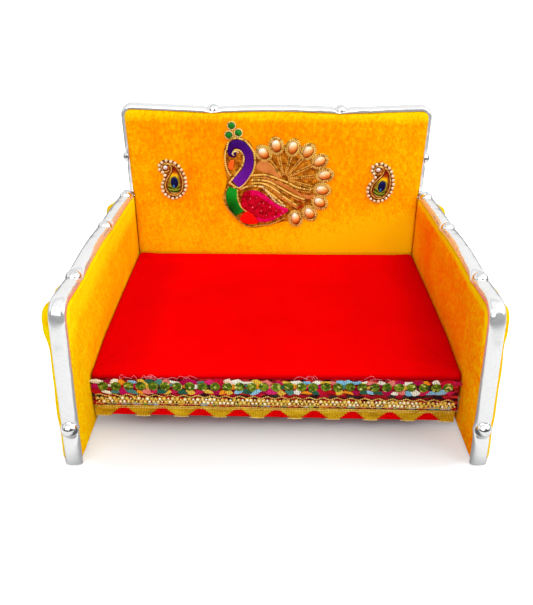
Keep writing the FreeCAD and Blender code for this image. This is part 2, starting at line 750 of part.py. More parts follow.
def stroke_face(spine, half_widths, y):
    """A face that follows a spine of points, as wide as twice the half width at each."""
    left, right = [], []
    last = len(spine) - 1
    for index, point in enumerate(spine):
        before, after = spine[max(index - 1, 0)], spine[min(index + 1, last)]
        run = Vector(after[0] - before[0], after[1] - before[1], 0).normalize()
        half = half_widths[index]
        left.append((point[0] - run.y * half, point[1] + run.x * half))
        right.append((point[0] + run.y * half, point[1] - run.x * half))
    edges = []
    for side in (left, list(reversed(right))):
        curve = Part.BSplineCurve()
        curve.interpolate([facing(y)(point) for point in side])
        edges.append(curve.toShape())
    caps = ((left[-1], right[-1]), (right[0], left[0]))
    end_edges = edges_from(caps, facing(y))
    return Part.Face(Part.Wire([edges[0], end_edges[0], edges[1], end_edges[1]]))


def stroke(shares, half_widths, y, thick):
    """A raised stroke on the peacock patch."""
    spine = [peacock_point(share) for share in shares]
    return stroke_face(spine, half_widths, y).extrude(Vector(0, -thick, 0))


def patch(shares, y, thick):
    """A raised smooth-edged patch on the peacock's net."""
    face = smooth_face([peacock_point(share) for share in shares], y)
    return face.extrude(Vector(0, -thick, 0))


def oval_face(centre, along_x, along_z, half_length, half_width, y):
    """An oval face whose long way points along a direction in the plane of the back rest."""
    long_way = Vector(along_x, 0, along_z).normalize()
    middle = facing(y)(centre)
    normal = Vector(0, -1, 0)
    wide_way = normal.cross(long_way)
    oval = Part.Ellipse(middle + long_way * half_length, middle + wide_way * half_width, middle)
    return Part.Face(Part.Wire([oval.toShape()]))


def half_oval_body(centre, along_x, along_z, half_length, half_width, y):
    """Half an egg with its flat side at y, round about its long way."""
    ball = Part.makeSphere(half_width)
    front = box((-half_width, -half_width, -half_width), (half_width, 0, half_width))
    stretch = FreeCAD.Matrix()
    stretch.scale(1, 1, half_length / half_width)
    egg = ball.common(front).transformGeometry(stretch)
    turn = FreeCAD.Rotation(Vector(0, 0, 1), Vector(along_x, 0, along_z))
    return egg.transformed(FreeCAD.Placement(facing(y)(centre), turn).toMatrix())


def cap(centre, radius, rise, y):
    """A low round gem with its flat side at y."""
    middle = facing(y)(centre)
    ball_radius = (radius ** 2 + rise ** 2) / (2 * rise)
    ball = Part.makeSphere(ball_radius, middle + Vector(0, ball_radius - rise, 0))
    front = box((middle.x - radius, y - 2 * rise, middle.z - radius),
                (middle.x + radius, y, middle.z + radius))
    return ball.common(front)


def make_peacock():
    """The embroidered peacock on the back rest, from its net to its crest gems."""
    face_y = back_front_y
    net_y = face_y - net_thick
    parts["peacock_net"] = patch(net_shares, face_y, net_thick)
    neck_half = [peacock_width * share for share in neck_half_shares]
    breast_half = [peacock_width * share for share in breast_half_shares]
    parts["peacock_neck"] = stroke(neck_spine_shares, neck_half, net_y, satin_thick)
    parts["peacock_breast"] = stroke(breast_spine_shares, breast_half, net_y, satin_thick)
    parts["peacock_belly"] = patch(belly_shares, net_y, satin_thick)
    parts["peacock_wing"] = patch(wing_shares, net_y, satin_thick)
    parts["peacock_beak"] = patch(beak_shares, net_y, satin_thick)
    cords = []
    for shares in feather_shares + (body_cord_shares, beak_cord_shares):
        cords.append(stroke(shares, [cord_half_width] * len(shares), net_y, cord_thick))
    root = peacock_point(fan_root_shares)
    pearls, rims = [], []
    for number, share in enumerate(pearl_place_shares):
        place = peacock_point(share)
        run = (place[0] - root[0], place[1] - root[1])
        length = math.hypot(run[0], run[1])
        way = (run[0] / length, run[1] / length)
        pearls.append(half_oval_body(place, way[0], way[1], pearl_half_length,
                                     pearl_half_width, net_y))
        hole = oval_face(place, way[0], way[1], pearl_half_length + pearl_gap,
                         pearl_half_width + pearl_gap, net_y)
        outer = oval_face(place, way[0], way[1],
                          pearl_half_length + pearl_gap + pearl_rim_width,
                          pearl_half_width + pearl_gap + pearl_rim_width, net_y)
        rims.append(outer.cut(hole).extrude(Vector(0, -pearl_rim_thick, 0)))
        if number < stem_count:
            near = peacock_width * stem_start_share
            far = length - pearl_half_length - 2 * pearl_rim_width
            ends = [(root[0] + way[0] * reach, root[1] + way[1] * reach)
                    for reach in (near, far)]
            stem = stroke_face(ends, [cord_half_width / 2] * 2, net_y)
            cords.append(stem.extrude(Vector(0, -cord_thick, 0)))
    parts["peacock_pearls"] = Part.makeCompound(pearls)
    parts["peacock_pearl_rims"] = Part.makeCompound(rims)
    parts["peacock_cords"] = Part.makeCompound(cords)
    make_crest(face_y)


def make_crest(face_y):
    """Three green gems in pale rims above the peacock's head."""
    gems, rims = [], []
    toward = Vector(0, -1, 0)
    for share in gem_place_shares:
        place = peacock_point(share)
        middle = facing(face_y)(place)
        outer = Part.makeCylinder(gem_radius + gem_rim_width, gem_rim_thick, middle, toward)
        hole = Part.makeCylinder(gem_radius + nail_clearance, gem_rim_thick, middle, toward)
        rims.append(outer.cut(hole))
        gems.append(cap(place, gem_radius, gem_rise, face_y))
    parts["peacock_crest_gems"] = Part.makeCompound(gems)
    parts["peacock_crest_rims"] = Part.makeCompound(rims)


def make_paisley(centre, name, turn):
    """A paisley brooch: base, enamel leaf, oval stone and a chain of beads."""
    radians = math.radians(turn)

    def place(share):
        across_share = share[0] * math.cos(radians) - share[1] * math.sin(radians)
        up_share = share[0] * math.sin(radians) + share[1] * math.cos(radians)
        return (centre[0] + across_share * paisley_height,
                centre[1] + up_share * paisley_height)

    face_y = back_front_y
    top_y = face_y - paisley_base_thick
    base = smooth_face([place(share) for share in paisley_base_shares], face_y)
    parts[name + "_paisley_base"] = base.extrude(Vector(0, -paisley_base_thick, 0))
    enamel = smooth_face([place(share) for share in paisley_enamel_shares], top_y)
    parts[name + "_paisley_enamel"] = enamel.extrude(Vector(0, -paisley_enamel_thick, 0))
    half_long = paisley_stone_half_shares[1] * paisley_height
    half_wide = paisley_stone_half_shares[0] * paisley_height
    stone_y = top_y - paisley_enamel_thick
    stone = oval_face(place(paisley_stone_centre_shares), -math.sin(radians),
                      math.cos(radians), half_long, half_wide, stone_y)
    parts[name + "_paisley_stone"] = stone.extrude(Vector(0, -paisley_stone_rise, 0))
    beads = []
    for share in paisley_bead_shares:
        beads.append(cap(place(share), paisley_bead_radius, paisley_bead_radius, top_y))
    beads.append(cap(place(paisley_eye_shares), paisley_eye_radius, paisley_eye_radius, top_y))
    parts[name + "_paisley_beads"] = Part.makeCompound(beads)


parts = {}
make_back()
make_arm(-1, "left")
make_arm(1, "right")
make_seat()
make_laces()
make_peacock()
make_paisley((-paisley_centre_x, paisley_centre_z), "left", 0)
make_paisley((paisley_centre_x + paisley_right_shift, paisley_centre_z - paisley_right_drop),
             "right", paisley_right_turn)

os.makedirs("parts", exist_ok=True)
for node, shape in parts.items():
    placed = shape.copy()
    placed.translate(Vector(0, frame_shift, 0))
    placed.exportStep("parts/" + node + ".step")
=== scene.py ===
import math
import random

import bmesh
import bpy
from mathutils import Matrix, Vector, noise


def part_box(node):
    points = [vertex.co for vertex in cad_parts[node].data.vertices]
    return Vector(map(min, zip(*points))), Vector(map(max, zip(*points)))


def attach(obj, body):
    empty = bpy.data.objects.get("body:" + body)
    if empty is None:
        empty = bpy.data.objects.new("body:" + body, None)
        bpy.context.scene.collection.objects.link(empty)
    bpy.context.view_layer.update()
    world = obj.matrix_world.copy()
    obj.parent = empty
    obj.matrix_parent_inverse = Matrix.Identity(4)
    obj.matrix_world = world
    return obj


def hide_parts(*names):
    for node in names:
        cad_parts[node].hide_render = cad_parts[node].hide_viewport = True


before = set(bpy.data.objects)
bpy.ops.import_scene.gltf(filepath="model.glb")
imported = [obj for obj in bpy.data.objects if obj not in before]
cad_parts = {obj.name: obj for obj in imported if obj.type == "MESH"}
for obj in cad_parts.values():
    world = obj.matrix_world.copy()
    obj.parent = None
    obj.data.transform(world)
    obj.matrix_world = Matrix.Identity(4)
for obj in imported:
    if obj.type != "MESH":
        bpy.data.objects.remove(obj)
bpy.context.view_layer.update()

# Places and sizes are in metres; MM turns millimetres into metres.
MM = 0.001
seat_low, seat_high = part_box("seat_velvet")
back_low, back_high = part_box("back_velvet")
lace_low, lace_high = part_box("front_lace")
seat_front = seat_low.y
back_front = back_low.y
net_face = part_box("peacock_net")[0].y
front_height = 44.6 * MM
back_rise = 121.7 * MM
half_seat = 120 * MM
arm_thick = 13 * MM
strip_width = 10.25 * MM
strip_rise = 3.6 * MM
velvet_thick = 0.8 * MM
arm_strip_x = half_seat + strip_width / 2
back_strip_y = back_front + 1.0 * MM + strip_width / 2
tab_thick = 1.0 * MM
quarter_turn = math.pi / 2
full_turn = 2 * math.pi


# Bench work


def clear_bench():
    """Nothing is picked, so that a tool acts on its own piece alone."""
    if bpy.context.object and bpy.context.object.mode != "OBJECT":
        bpy.ops.object.mode_set(mode="OBJECT")
    bpy.ops.object.select_all(action="DESELECT")


def take(piece):
    """Picks one piece up."""
    clear_bench()
    piece.select_set(True)
    bpy.context.view_layer.objects.active = piece
    return piece


def put(name, data):
    """Sets a new piece on the bench."""
    piece = bpy.data.objects.new(name, data)
    bpy.context.scene.collection.objects.link(piece)
    return piece


def name_piece(piece, name):
    """Names a piece and its mesh."""
    piece.name = name
    piece.data.name = name
    return piece


def plain_piece(name):
    """The piece that the last primitive made, its place and size put into its mesh."""
    piece = take(name_piece(bpy.context.object, name))
    bpy.ops.object.transform_apply(location=True, rotation=True, scale=True)
    return piece


def ball(name, radius, segments, rings):
    """A new ball on the bench."""
    bpy.ops.mesh.primitive_uv_sphere_add(segments=segments, ring_count=rings, radius=radius)
    return plain_piece(name)


def hoop(name, radius, thick, segments, sides):
    """A new ring of round wire on the bench."""
    bpy.ops.mesh.primitive_torus_add(major_radius=radius, minor_radius=thick,
                                     major_segments=segments, minor_segments=sides)
    return plain_piece(name)


def disc(name, radius, corners):
    """A new flat disc on the bench, one face."""
    bpy.ops.mesh.primitive_circle_add(vertices=corners, fill_type="NGON", radius=radius)
    return plain_piece(name)


def sway(luck, reach):
    """A chance step to either side."""
    return luck.uniform(-reach, reach)


def open_mesh():
    """Opens the piece in hand for shaping, with all of it picked."""
    bpy.ops.object.mode_set(mode="EDIT")
    bpy.ops.mesh.select_all(action="SELECT")


def close_mesh():
    """Ends the shaping of the piece in hand."""
    bpy.ops.object.mode_set(mode="OBJECT")


def pull(height, *rings):
    """Pulls the picked face up, then steps it in ring by ring: how far in and how far up."""
    bpy.ops.mesh.extrude_region_move(TRANSFORM_OT_translate={"value": (0, 0, height)})
    for inward, up in rings:
        bpy.ops.mesh.inset(thickness=inward, depth=up)


def cut_behind(piece, y=0.0):
    """Cuts away what lies behind y, and closes the cut."""
    take(piece)
    open_mesh()
    bpy.ops.mesh.bisect(plane_co=(0, y, 0), plane_no=(0, 1, 0), clear_outer=True, use_fill=True)
    close_mesh()
    return piece


def finish_with(piece, kind, **settings):
    """Adds a modifier, sets it and applies it."""
    take(piece)
    modifier = piece.modifiers.new(kind.title(), kind)
    for setting, value in settings.items():
        setattr(modifier, setting, value)
    bpy.ops.object.modifier_apply(modifier=modifier.name)
    return piece


def softened(piece, voxel, factor, rounds):
    """Gives a piece an even mesh and rubs its edges soft."""
    finish_with(piece, "REMESH", mode="VOXEL", voxel_size=voxel)
    return finish_with(piece, "SMOOTH", factor=factor, iterations=rounds)


def smooth(piece, degrees=40):
    """Smooth faces with creases only at sharp corners."""
    take(piece)
    bpy.ops.object.shade_smooth_by_angle(angle=math.radians(degrees))
    return piece


def face_out(piece):
    """Merges doubles and turns every face outward."""
    take(piece)
    open_mesh()
    bpy.ops.mesh.remove_doubles(threshold=0.000005)
    bpy.ops.mesh.normals_make_consistent(inside=False)
    close_mesh()
    return piece


def gather(pieces, name):
    """Joins pieces into one."""
    clear_bench()
    for piece in pieces:
        piece.select_set(True)
    bpy.context.view_layer.objects.active = pieces[0]
    if len(pieces) > 1:
        bpy.ops.object.join()
    return name_piece(pieces[0], name)


def copies(piece, places, name, tones=None):
    """Copies of one piece at many places, each with its own mesh, joined."""
    made = []
    for index, place in enumerate(places):
        mesh = piece.data.copy()
        mesh.transform(place)
        if tones:
            layer = mesh.attributes.new("tone", "FLOAT", "POINT")
            layer.data.foreach_set("value", [tones[index]] * len(mesh.vertices))
        made.append(put(name, mesh))
    bpy.data.objects.remove(piece)
    return gather(made, name)


def dress(piece, finish, slot, *nodes):
    """Gives a piece its finish and hides the solids that it stands for; the slot is not used."""
    piece.data.materials.clear()
    piece.data.materials.append(finish)
    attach(piece, "root")
    if nodes:
        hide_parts(*nodes)
    return piece


def tone(piece, name, value_of):
    """Writes a value for each point of a piece, for its finish to read."""
    layer = piece.data.attributes.new(name, "FLOAT", "POINT")
    for index, vertex in enumerate(piece.data.vertices):
        layer.data[index].value = value_of(vertex.co, index)


def ease(share):
    """A smooth step from 0 to 1."""
    share = min(1.0, max(0.0, share))
    return share * share * (3 - 2 * share)


def above(value, level, span):
    """0 up to a level and 1 past a span above it, both in millimetres."""
    return ease((value - level * MM) / (span * MM))


def under(value, level, span):
    """0 down to a level and 1 past a span under it, both in millimetres."""
    return ease((level * MM - value) / (span * MM))


def off_line(spot, line):
    """How far a spot lies from a line through points, and how far along the line that is."""
    gap, reach, passed = 1.0, 0.0, 0.0
    for start, end in zip(line, line[1:]):
        run = end - start
        share = min(1.0, max(0.0, (spot - start).dot(run) / run.length_squared))
        here = (spot - start - run * share).length
        if here < gap:
            gap, reach = here, passed + run.length * share
        passed += run.length
    return gap, reach


# Outlines


def arc_through(start, middle, end, count):
    """Points of the circle arc through three points, the first left out."""
    ax, ay, bx, by, cx, cy = *start, *middle, *end
    d = 2 * (ax * (by - cy) + bx * (cy - ay) + cx * (ay - by))
    a2, b2, c2 = ax * ax + ay * ay, bx * bx + by * by, cx * cx + cy * cy
    ox = (a2 * (by - cy) + b2 * (cy - ay) + c2 * (ay - by)) / d
    oy = (a2 * (cx - bx) + b2 * (ax - cx) + c2 * (bx - ax)) / d
    radius = math.hypot(ax - ox, ay - oy)
    first = math.atan2(ay - oy, ax - ox)
    turn = math.atan2(cy - oy, cx - ox) - first
    turn = (turn + math.pi) % (2 * math.pi) - math.pi
    return [(ox + radius * math.cos(first + turn * k / count),
             oy + radius * math.sin(first + turn * k / count)) for k in range(1, count + 1)]


def crest(start, end, rise, count=8):
    """Points of a low arc over a run, the first left out."""
    run = Vector(end) - Vector(start)
    up = Vector((-run.y, run.x)).normalized()
    up = up if up.y > 0 else -up
    middle = (Vector(start) + Vector(end)) / 2 + up * rise
    return arc_through(start, tuple(middle), end, count)


def rounded(before, corner, after, radius, count=8):
    """Points of the arc that rounds a corner, from its start to its end."""
    tip = Vector(corner)
    to_before = (Vector(before) - tip).normalized()
    to_after = (Vector(after) - tip).normalized()
    half = to_before.angle(to_after) / 2
    start = tip + to_before * radius / math.tan(half)
    end = tip + to_after * radius / math.tan(half)
    middle = tip + (to_before + to_after).normalized() * (radius / math.sin(half) - radius)
    return [tuple(start)] + arc_through(tuple(start), tuple(middle), tuple(end), count)


def steps_between(start, end, count):
    """Points along a straight run, the first left out."""
    return [tuple(Vector(start).lerp(Vector(end), k / count)) for k in range(1, count + 1)]


# Arm profile in depth and height; the lengths of trim run between its nails.
arm_foot = (seat_front - 36 * MM, 0.0)
arm_corner = (seat_front - 26.3 * MM, 103.9 * MM)
arm_fore = (seat_front + 14.4 * MM, 102.0 * MM)
arm_middle = (seat_front + 103.09 * MM, 100.3 * MM)
arm_rear = (seat_front + 180.8 * MM, 96.7 * MM)
arm_rear_corner = (seat_front + 198 * MM, 95.8 * MM)
arm_rear_foot = (seat_front + 198 * MM, 0.0)
arm_low_nail = tuple(Vector(arm_foot).lerp(Vector(arm_corner), 25 / 103.9))
arm_low_end = tuple(Vector(arm_foot).lerp(Vector(arm_corner), 0.4 / 103.9))

arm_front_round = rounded(arm_fore, arm_corner, arm_foot, 10 * MM)
arm_rear_round = rounded(arm_rear_foot, arm_rear_corner, arm_rear, 5 * MM, 5)
arm_outline = ([arm_rear_foot] + arm_rear_round + steps_between(arm_rear_round[-1], arm_rear, 2)
               + crest(arm_rear, arm_middle, 0.7 * MM) + crest(arm_middle, arm_fore, 2.2 * MM)
               + steps_between(arm_fore, arm_front_round[0], 4) + arm_front_round[1:]
               + [arm_foot])
arm_trim_runs = {
    "rear": [arm_rear_round[-1]] + steps_between(arm_rear_round[-1], arm_rear, 10),
    "middle": [arm_rear] + crest(arm_rear, arm_middle, 0.7 * MM, 26),
    "long": [arm_middle] + crest(arm_middle, arm_fore, 2.2 * MM, 34),
    "corner": ([arm_fore] + steps_between(arm_fore, arm_front_round[0], 16)
               + arm_front_round[1:] + steps_between(arm_front_round[-1], arm_low_nail, 26)),
    "foot": [arm_low_nail] + steps_between(arm_low_nail, arm_low_end, 10),
}
arm_nails = [arm_rear, arm_middle, arm_fore, arm_low_nail]

# Back profile in width and height, its right half and then the mirrored left half.
back_low_end = (half_seat - 0.15 * MM, 11 * MM)
back_shoulder = (half_seat - 0.15 * MM, 95.4 * MM)
back_corner = (121.6 * MM, 168.9 * MM)
back_top_nail = (51 * MM, 166.3 * MM)
back_side_nail = tuple(Vector(back_shoulder).lerp(Vector(back_corner), (129 - 95.4) / 73.5))
back_trim_start = tuple(Vector(back_shoulder).lerp(Vector(back_corner), (100.3 - 95.4) / 73.5))
back_round = rounded(back_shoulder, back_corner, back_top_nail, 6 * MM, 6)


def other_side(points):
    """The same points on the other side of the middle, in turned order."""
    return [(-x, z) for x, z in reversed(points)]


back_top_crest = crest(back_top_nail, (-back_top_nail[0], back_top_nail[1]), 1.4 * MM, 34)
back_right = [back_low_end, back_shoulder] + back_round + [back_top_nail]
back_outline = back_right + back_top_crest[3:-1:4] + other_side(back_right)
corner_run = ([back_side_nail] + steps_between(back_side_nail, back_round[0], 12)
              + back_round[1:] + steps_between(back_round[-1], back_top_nail, 24))
low_run = [back_trim_start] + steps_between(back_trim_start, back_side_nail, 10)
back_trim_runs = {
    "right_low": low_run,
    "right_corner": corner_run,
    "top": [back_top_nail] + back_top_crest,
    "left_corner": other_side(corner_run),
    "left_low": other_side(low_run),
}


def across(x):
    """Stands a drawing of depth and height in the plane at x."""
    return Matrix(((0, 0, 1, x), (1, 0, 0, 0), (0, 1, 0, 0), (0, 0, 0, 1)))


def facing(y):
    """Stands a drawing of width and height in the plane at y, its top toward the front."""
    return Matrix(((1, 0, 0, 0), (0, 0, -1, y), (0, 1, 0, 0), (0, 0, 0, 1)))


def made_solid(name, drawing):
    """Turns a drawing into a mesh."""
    take(put(name, drawing))
    bpy.ops.object.convert(target="MESH")
    return name_piece(bpy.context.object, name)


def bent_line(drawing, points, closed=False):
    """A line that runs smoothly through its points."""
    line = drawing.splines.new("BEZIER")
    line.bezier_points.add(len(points) - 1)
    for knot, point in zip(line.bezier_points, points):
        knot.co = point
        knot.handle_left_type = knot.handle_right_type = "AUTO"
    line.use_cyclic_u = closed
    return line


def drawn_flat(name, points, thick, place, edge=0.0, smooth_line=False, steps=6):
    """A flat shape cut to a drawn outline, with rounded edges, stood in its place."""
    drawing = bpy.data.curves.new(name, "CURVE")
    drawing.dimensions = "2D"
    drawing.fill_mode = "BOTH"
    drawing.resolution_u = steps
    if smooth_line:
        bent_line(drawing, [(*point, 0) for point in points], True)
    else:
        line = drawing.splines.new("POLY")
        line.points.add(len(points) - 1)
        for knot, point in zip(line.points, points):
            knot.co = (*point, 0, 1)
        line.use_cyclic_u = True
    drawing.extrude = thick / 2 - edge
    drawing.bevel_depth = edge
    drawing.bevel_resolution = 2
    drawing.offset = -edge
    piece = made_solid(name, drawing)
    piece.data.transform(place @ Matrix.Translation((0, 0, thick / 2)))
    return face_out(piece)


def round_wire(name, radius, resolution, steps):
    """An empty drawing for round wire or thread."""
    drawing = bpy.data.curves.new(name, "CURVE")
    drawing.dimensions = "3D"
    drawing.bevel_depth = radius
    drawing.bevel_resolution = resolution
    drawing.resolution_u = steps
    drawing.use_fill_caps = True
    return drawing


def closed_line(name, points, radius):
    """A round wire bent to a closed line."""
    drawing = round_wire(name, radius, 2, 5)
    bent_line(drawing, points, True)
    return smooth(face_out(made_solid(name, drawing)), 60)


def thin_lines(name, lines, radius, resolution=2, closed=False):
    """Round threads along smooth lines."""
    drawing = round_wire(name, radius, resolution, 5 if resolution else 3)
    for points in lines:
        line = drawing.splines.new("NURBS")
        line.points.add(len(points) - 1)
        for knot, point in zip(line.points, points):
            knot.co = (*point, 1)
        line.order_u = 3
        line.use_endpoint_u = not closed
        line.use_cyclic_u = closed
    return smooth(face_out(made_solid(name, drawing)), 60)


# Finishes


black, white = (0.0, 0.0, 0.0), (1.0, 1.0, 1.0)


def join(tree, value, socket):
    """Sets a socket to a plain value, or joins it to what the value comes from."""
    if isinstance(value, Value):
        tree.links.new(value.socket, socket)
    elif socket.type == "RGBA" and len(value) == 3:
        socket.default_value = (*value, 1)
    else:
        socket.default_value = value


class Value:
    """A value in a finish; sums of such values are written as plain sums."""

    def __init__(self, tree, socket):
        self.tree, self.socket = tree, socket

    def math(self, kind, *others):
        """One step of arithmetic."""
        made = self.tree.nodes.new("ShaderNodeMath")
        made.operation = kind
        for socket, value in zip(made.inputs, (self, *others)):
            join(self.tree, value, socket)
        return Value(self.tree, made.outputs[0])

    def __add__(self, other):
        return self.math("ADD", other)

    def __mul__(self, other):
        return self.math("MULTIPLY", other)

    def __sub__(self, other):
        return self.math("SUBTRACT", other)

    def __rsub__(self, other):
        return self * -1 + other

    __radd__, __rmul__ = __add__, __mul__


class Finish:
    """A finish being mixed: its nodes, and the shader that they end in."""

    def __init__(self, name, owner=None):
        self.owner = owner or bpy.data.materials.new(name)
        self.owner.use_nodes = True
        self.tree = self.owner.node_tree
        self.shader = self.tree.nodes.get("Principled BSDF")

    def node(self, kind, output, *values, **settings):
        """One output of a new node; its sockets are given in order or by name."""
        made = self.tree.nodes.new("ShaderNode" + kind)
        for socket, value in zip(made.inputs, values):
            join(self.tree, value, socket)
        for key, value in settings.items():
            if hasattr(made, key):
                setattr(made, key, value)
            else:
                join(self.tree, value, made.inputs[key.replace("_", " ")])
        return Value(self.tree, made.outputs[output])

    def where(self):
        """Where a point lies on the whole object."""
        return self.node("TexCoord", "Object")

    def read(self, name, output="Fac"):
        """What was written on the piece's points."""
        return self.node("Attribute", output, attribute_name=name)

    def parts(self, kind, value):
        """The three parts of a place or a colour."""
        whole = self.node(kind, 0, value)
        return [Value(self.tree, socket) for socket in whole.socket.node.outputs]

    def cloud(self, scale, detail=2, rough=0.6, stretch=None):
        """Cloudy noise of a scale per metre."""
        source = self.where()
        if stretch:
            source = self.node("Mapping", "Vector", Vector=source, Scale=stretch)
        return self.node("TexNoise", "Fac", Vector=source, Scale=scale, Detail=detail,
                         Roughness=rough)

    def wave(self, scale, bend, detail=1, along="X", source=None):
        """Threads side by side."""
        return self.node("TexWave", "Fac", Vector=source or self.where(), Scale=scale,
                         Distortion=bend, Detail=detail, bands_direction=along)

    def ramp(self, value, *stops):
        """Colours along a value; a single number is a grey."""
        colours = self.node("ValToRGB", "Color", value)
        line = colours.socket.node.color_ramp
        while len(line.elements) < len(stops):
            line.elements.new(0.5)
        for element, (place, colour) in zip(line.elements, stops):
            element.position = place
            element.color = (*colour, 1) if isinstance(colour, tuple) else (*[colour] * 3, 1)
        return colours

    def blend(self, share, first, second):
        """One colour over another."""
        mixed = self.node("Mix", 2, data_type="RGBA")
        sockets = mixed.socket.node.inputs
        for socket, value in ((sockets[0], share), (sockets[6], first), (sockets[7], second)):
            join(self.tree, value, socket)
        return mixed

    def relief(self, height, depth, strength):
        """Raises the surface by a pattern; the depth is in millimetres."""
        bump = self.node("Bump", "Normal", Height=height, Distance=depth * MM, Strength=strength)
        join(self.tree, bump, self.shader.inputs["Normal"])

    def look(self, colour, rough, gloss=0.5, **others):
        """Sets the shader and hands over the finish."""
        others.update(Base_Color=colour, Roughness=rough, Specular_IOR_Level=gloss)
        for key, value in others.items():
            join(self.tree, value, self.shader.inputs[key.replace("_", " ")])
        return self.owner


def clouded(name, scale, stops, rough, gloss=0.5, grain=0.6, **others):
    """A finish whose colour only wanders a little."""
    mix = Finish(name)
    return mix.look(mix.ramp(mix.cloud(scale, 2, grain), *stops), rough, gloss, **others)


def marigold_velvet(name, deep, middle, light):
    """Short cotton pile in marigold, brushed one way, with blotches where the nap turned, and
    painted light and painted shade written on each cover.
    """
    mix = Finish(name)
    blotch = mix.cloud(38, 3, 0.6, (1, 1, 0.6))
    mottle = mix.cloud(300, 3, 0.7, (1.3, 1, 0.8))
    pile = mix.cloud(820, 2, 0.7, (1, 1, 0.6))
    # The value written on each cover adds painted light to the pile's own mottling.
    nap = 0.90 * mottle + 0.60 * blotch + 0.95 * pile - 0.71 + mix.read("nap")
    colour = mix.ramp(nap, (0.20, deep), (0.5, middle), (0.92, light))
    # Painted shade: the colour darkens toward dark orange where the cover's values say.
    colour = mix.blend(mix.read("painted_shade"), colour, (0.42, 0.07, 0.0))
    mix.relief(0.5 * pile + 0.9 * mottle, 0.4, 0.6)
    return mix.look(colour, 0.10 * mottle + 0.82, 0.0, Sheen_Weight=0.10, Sheen_Roughness=0.5,
                    Sheen_Tint=(1.0, 0.62, 0.02))


def red_velvet():
    """Close-cropped scarlet velvet, nearly even, darkened by painted shade over the edges."""
    mix = Finish("red_velvet")
    pile = mix.cloud(2000, 2, 0.7)
    colour = mix.ramp(0.3 * pile + 0.7 * mix.cloud(22, 2, 0.5), (0.25, (0.74, 0.0003, 0.0005)),
                      (0.5, (0.82, 0.0004, 0.0006)), (0.8, (0.88, 0.0006, 0.001)))
    # Painted shade: the colour darkens toward deep red where the cover's values say.
    colour = mix.blend(mix.read("painted_shade"), colour, (0.14, 0.0, 0.004))
    mix.relief(pile, 0.2, 0.5)
    return mix.look(colour, 0.9, 0.0, Sheen_Weight=0.06, Sheen_Roughness=0.4,
                    Sheen_Tint=(1.0, 0.0, 0.01))


def bright_trim(name, mirror):
    """Thin bright strip, drawn lengthwise, slightly wavy where it was pressed on."""
    mix = Finish(name)
    fine = mix.cloud(700)
    colour = mix.ramp(fine, (0.3, (0.86, 0.87, 0.87)), (0.7, (0.95, 0.95, 0.94)))
    mix.relief(0.03 * fine + mix.cloud(75, 1, 0.4), 1.1, 0.6)
    return mix.look(colour, 0.10 * fine + 0.05, Metallic=mirror)


def pale_board():
    """Pressed fibre board with a faint grain."""
    mix = Finish("pale_board")
    grain = 0.35 * mix.cloud(1500, 3, 0.7) + 0.65 * mix.cloud(240, 5, 0.65, (0.25, 1, 1))
    colour = mix.ramp(grain, (0.3, (0.26, 0.15, 0.075)), (0.55, (0.44, 0.29, 0.16)),
                      (0.75, (0.56, 0.40, 0.24)))
    mix.relief(grain, 0.3, 0.6)
    return mix.look(colour, 0.82, 0.25)


def nail_wire():
    """Drawn steel nail wire with a dull skin."""
    mix = Finish("nail_wire")
    skin = mix.cloud(700, 3)
    colour = mix.ramp(skin, (0.35, (0.30, 0.29, 0.28)), (0.65, (0.55, 0.55, 0.54)))
    return mix.look(colour, 0.3 * skin + 0.25, Metallic=1.0)


def pale_foam():
    """Yellowish open-celled foam sheet."""
    mix = Finish("pale_foam")
    cells = mix.node("TexVoronoi", "Distance", Vector=mix.where(), Scale=900)
    mix.relief(cells, 0.4, 0.7)
    return mix.look(mix.ramp(cells, (0.0, (0.50, 0.42, 0.20)), (0.6, (0.86, 0.79, 0.52))),
                    0.95, 0.1)


def gold_zari(name, dark, light):
    """Twisted gilt thread: each turn has its own tone, pale to brown, over a core toned dark as
    painted shade between the turns.
    """
    mix = Finish(name)
    turns = mix.cloud(1300)
    middle = tuple(0.45 * a + 0.55 * b for a, b in zip(dark, light))
    pale = tuple(min(1.0, part * 1.10 + 0.04) for part in light)
    colour = mix.ramp(0.30 * turns + mix.read("tone") - 0.04,
                      (0.12, tuple(part * 0.35 for part in dark)), (0.32, dark),
                      (0.48, middle), (0.62, light), (0.88, pale))
    mix.relief(turns, 0.15, 0.5)
    return mix.look(colour, 0.34, 0.15, Metallic=0.35)


def satin_thread(name, deep, middle, light):
    """Satin stitch: glossy threads side by side across the stroke, shaded by its tone."""
    mix = Finish(name)
    threads = mix.wave(250, 0.6, source=mix.node("CombineXYZ", "Vector", mix.read("run")))
    shade = 0.55 * mix.cloud(420, 3, 0.65) + 0.75 * mix.read("tone") + 0.16 * threads - 0.23
    mix.relief(threads, 0.15, 0.6)
    return mix.look(mix.ramp(shade, (0.1, deep), (0.5, middle), (0.9, light)), 0.5, 0.08)


def crimson_wing():
    """The wing's satin: crimson, with a magenta border."""
    mix = Finish("crimson_satin")
    threads = mix.wave(320, 0.5, source=mix.node("CombineXYZ", "Vector", mix.read("run")))
    cloud = mix.cloud(420, 3, 0.65)
    body = mix.ramp(cloud, (0.36, (0.24, 0.0, 0.005)), (0.5, (0.50, 0.0005, 0.012)),
                    (0.64, (0.64, 0.001, 0.03)))
    rim = mix.ramp(cloud, (0.36, (0.48, 0.0, 0.06)), (0.52, (0.74, 0.0003, 0.11)),
                   (0.68, (0.86, 0.003, 0.18)))
    share = mix.ramp(mix.read("tone"), (0.35, black), (0.6, white))
    mix.relief(0.8 * cloud + threads, 0.18, 0.7)
    return mix.look(mix.blend(share, body, rim), 0.5, 0.06)


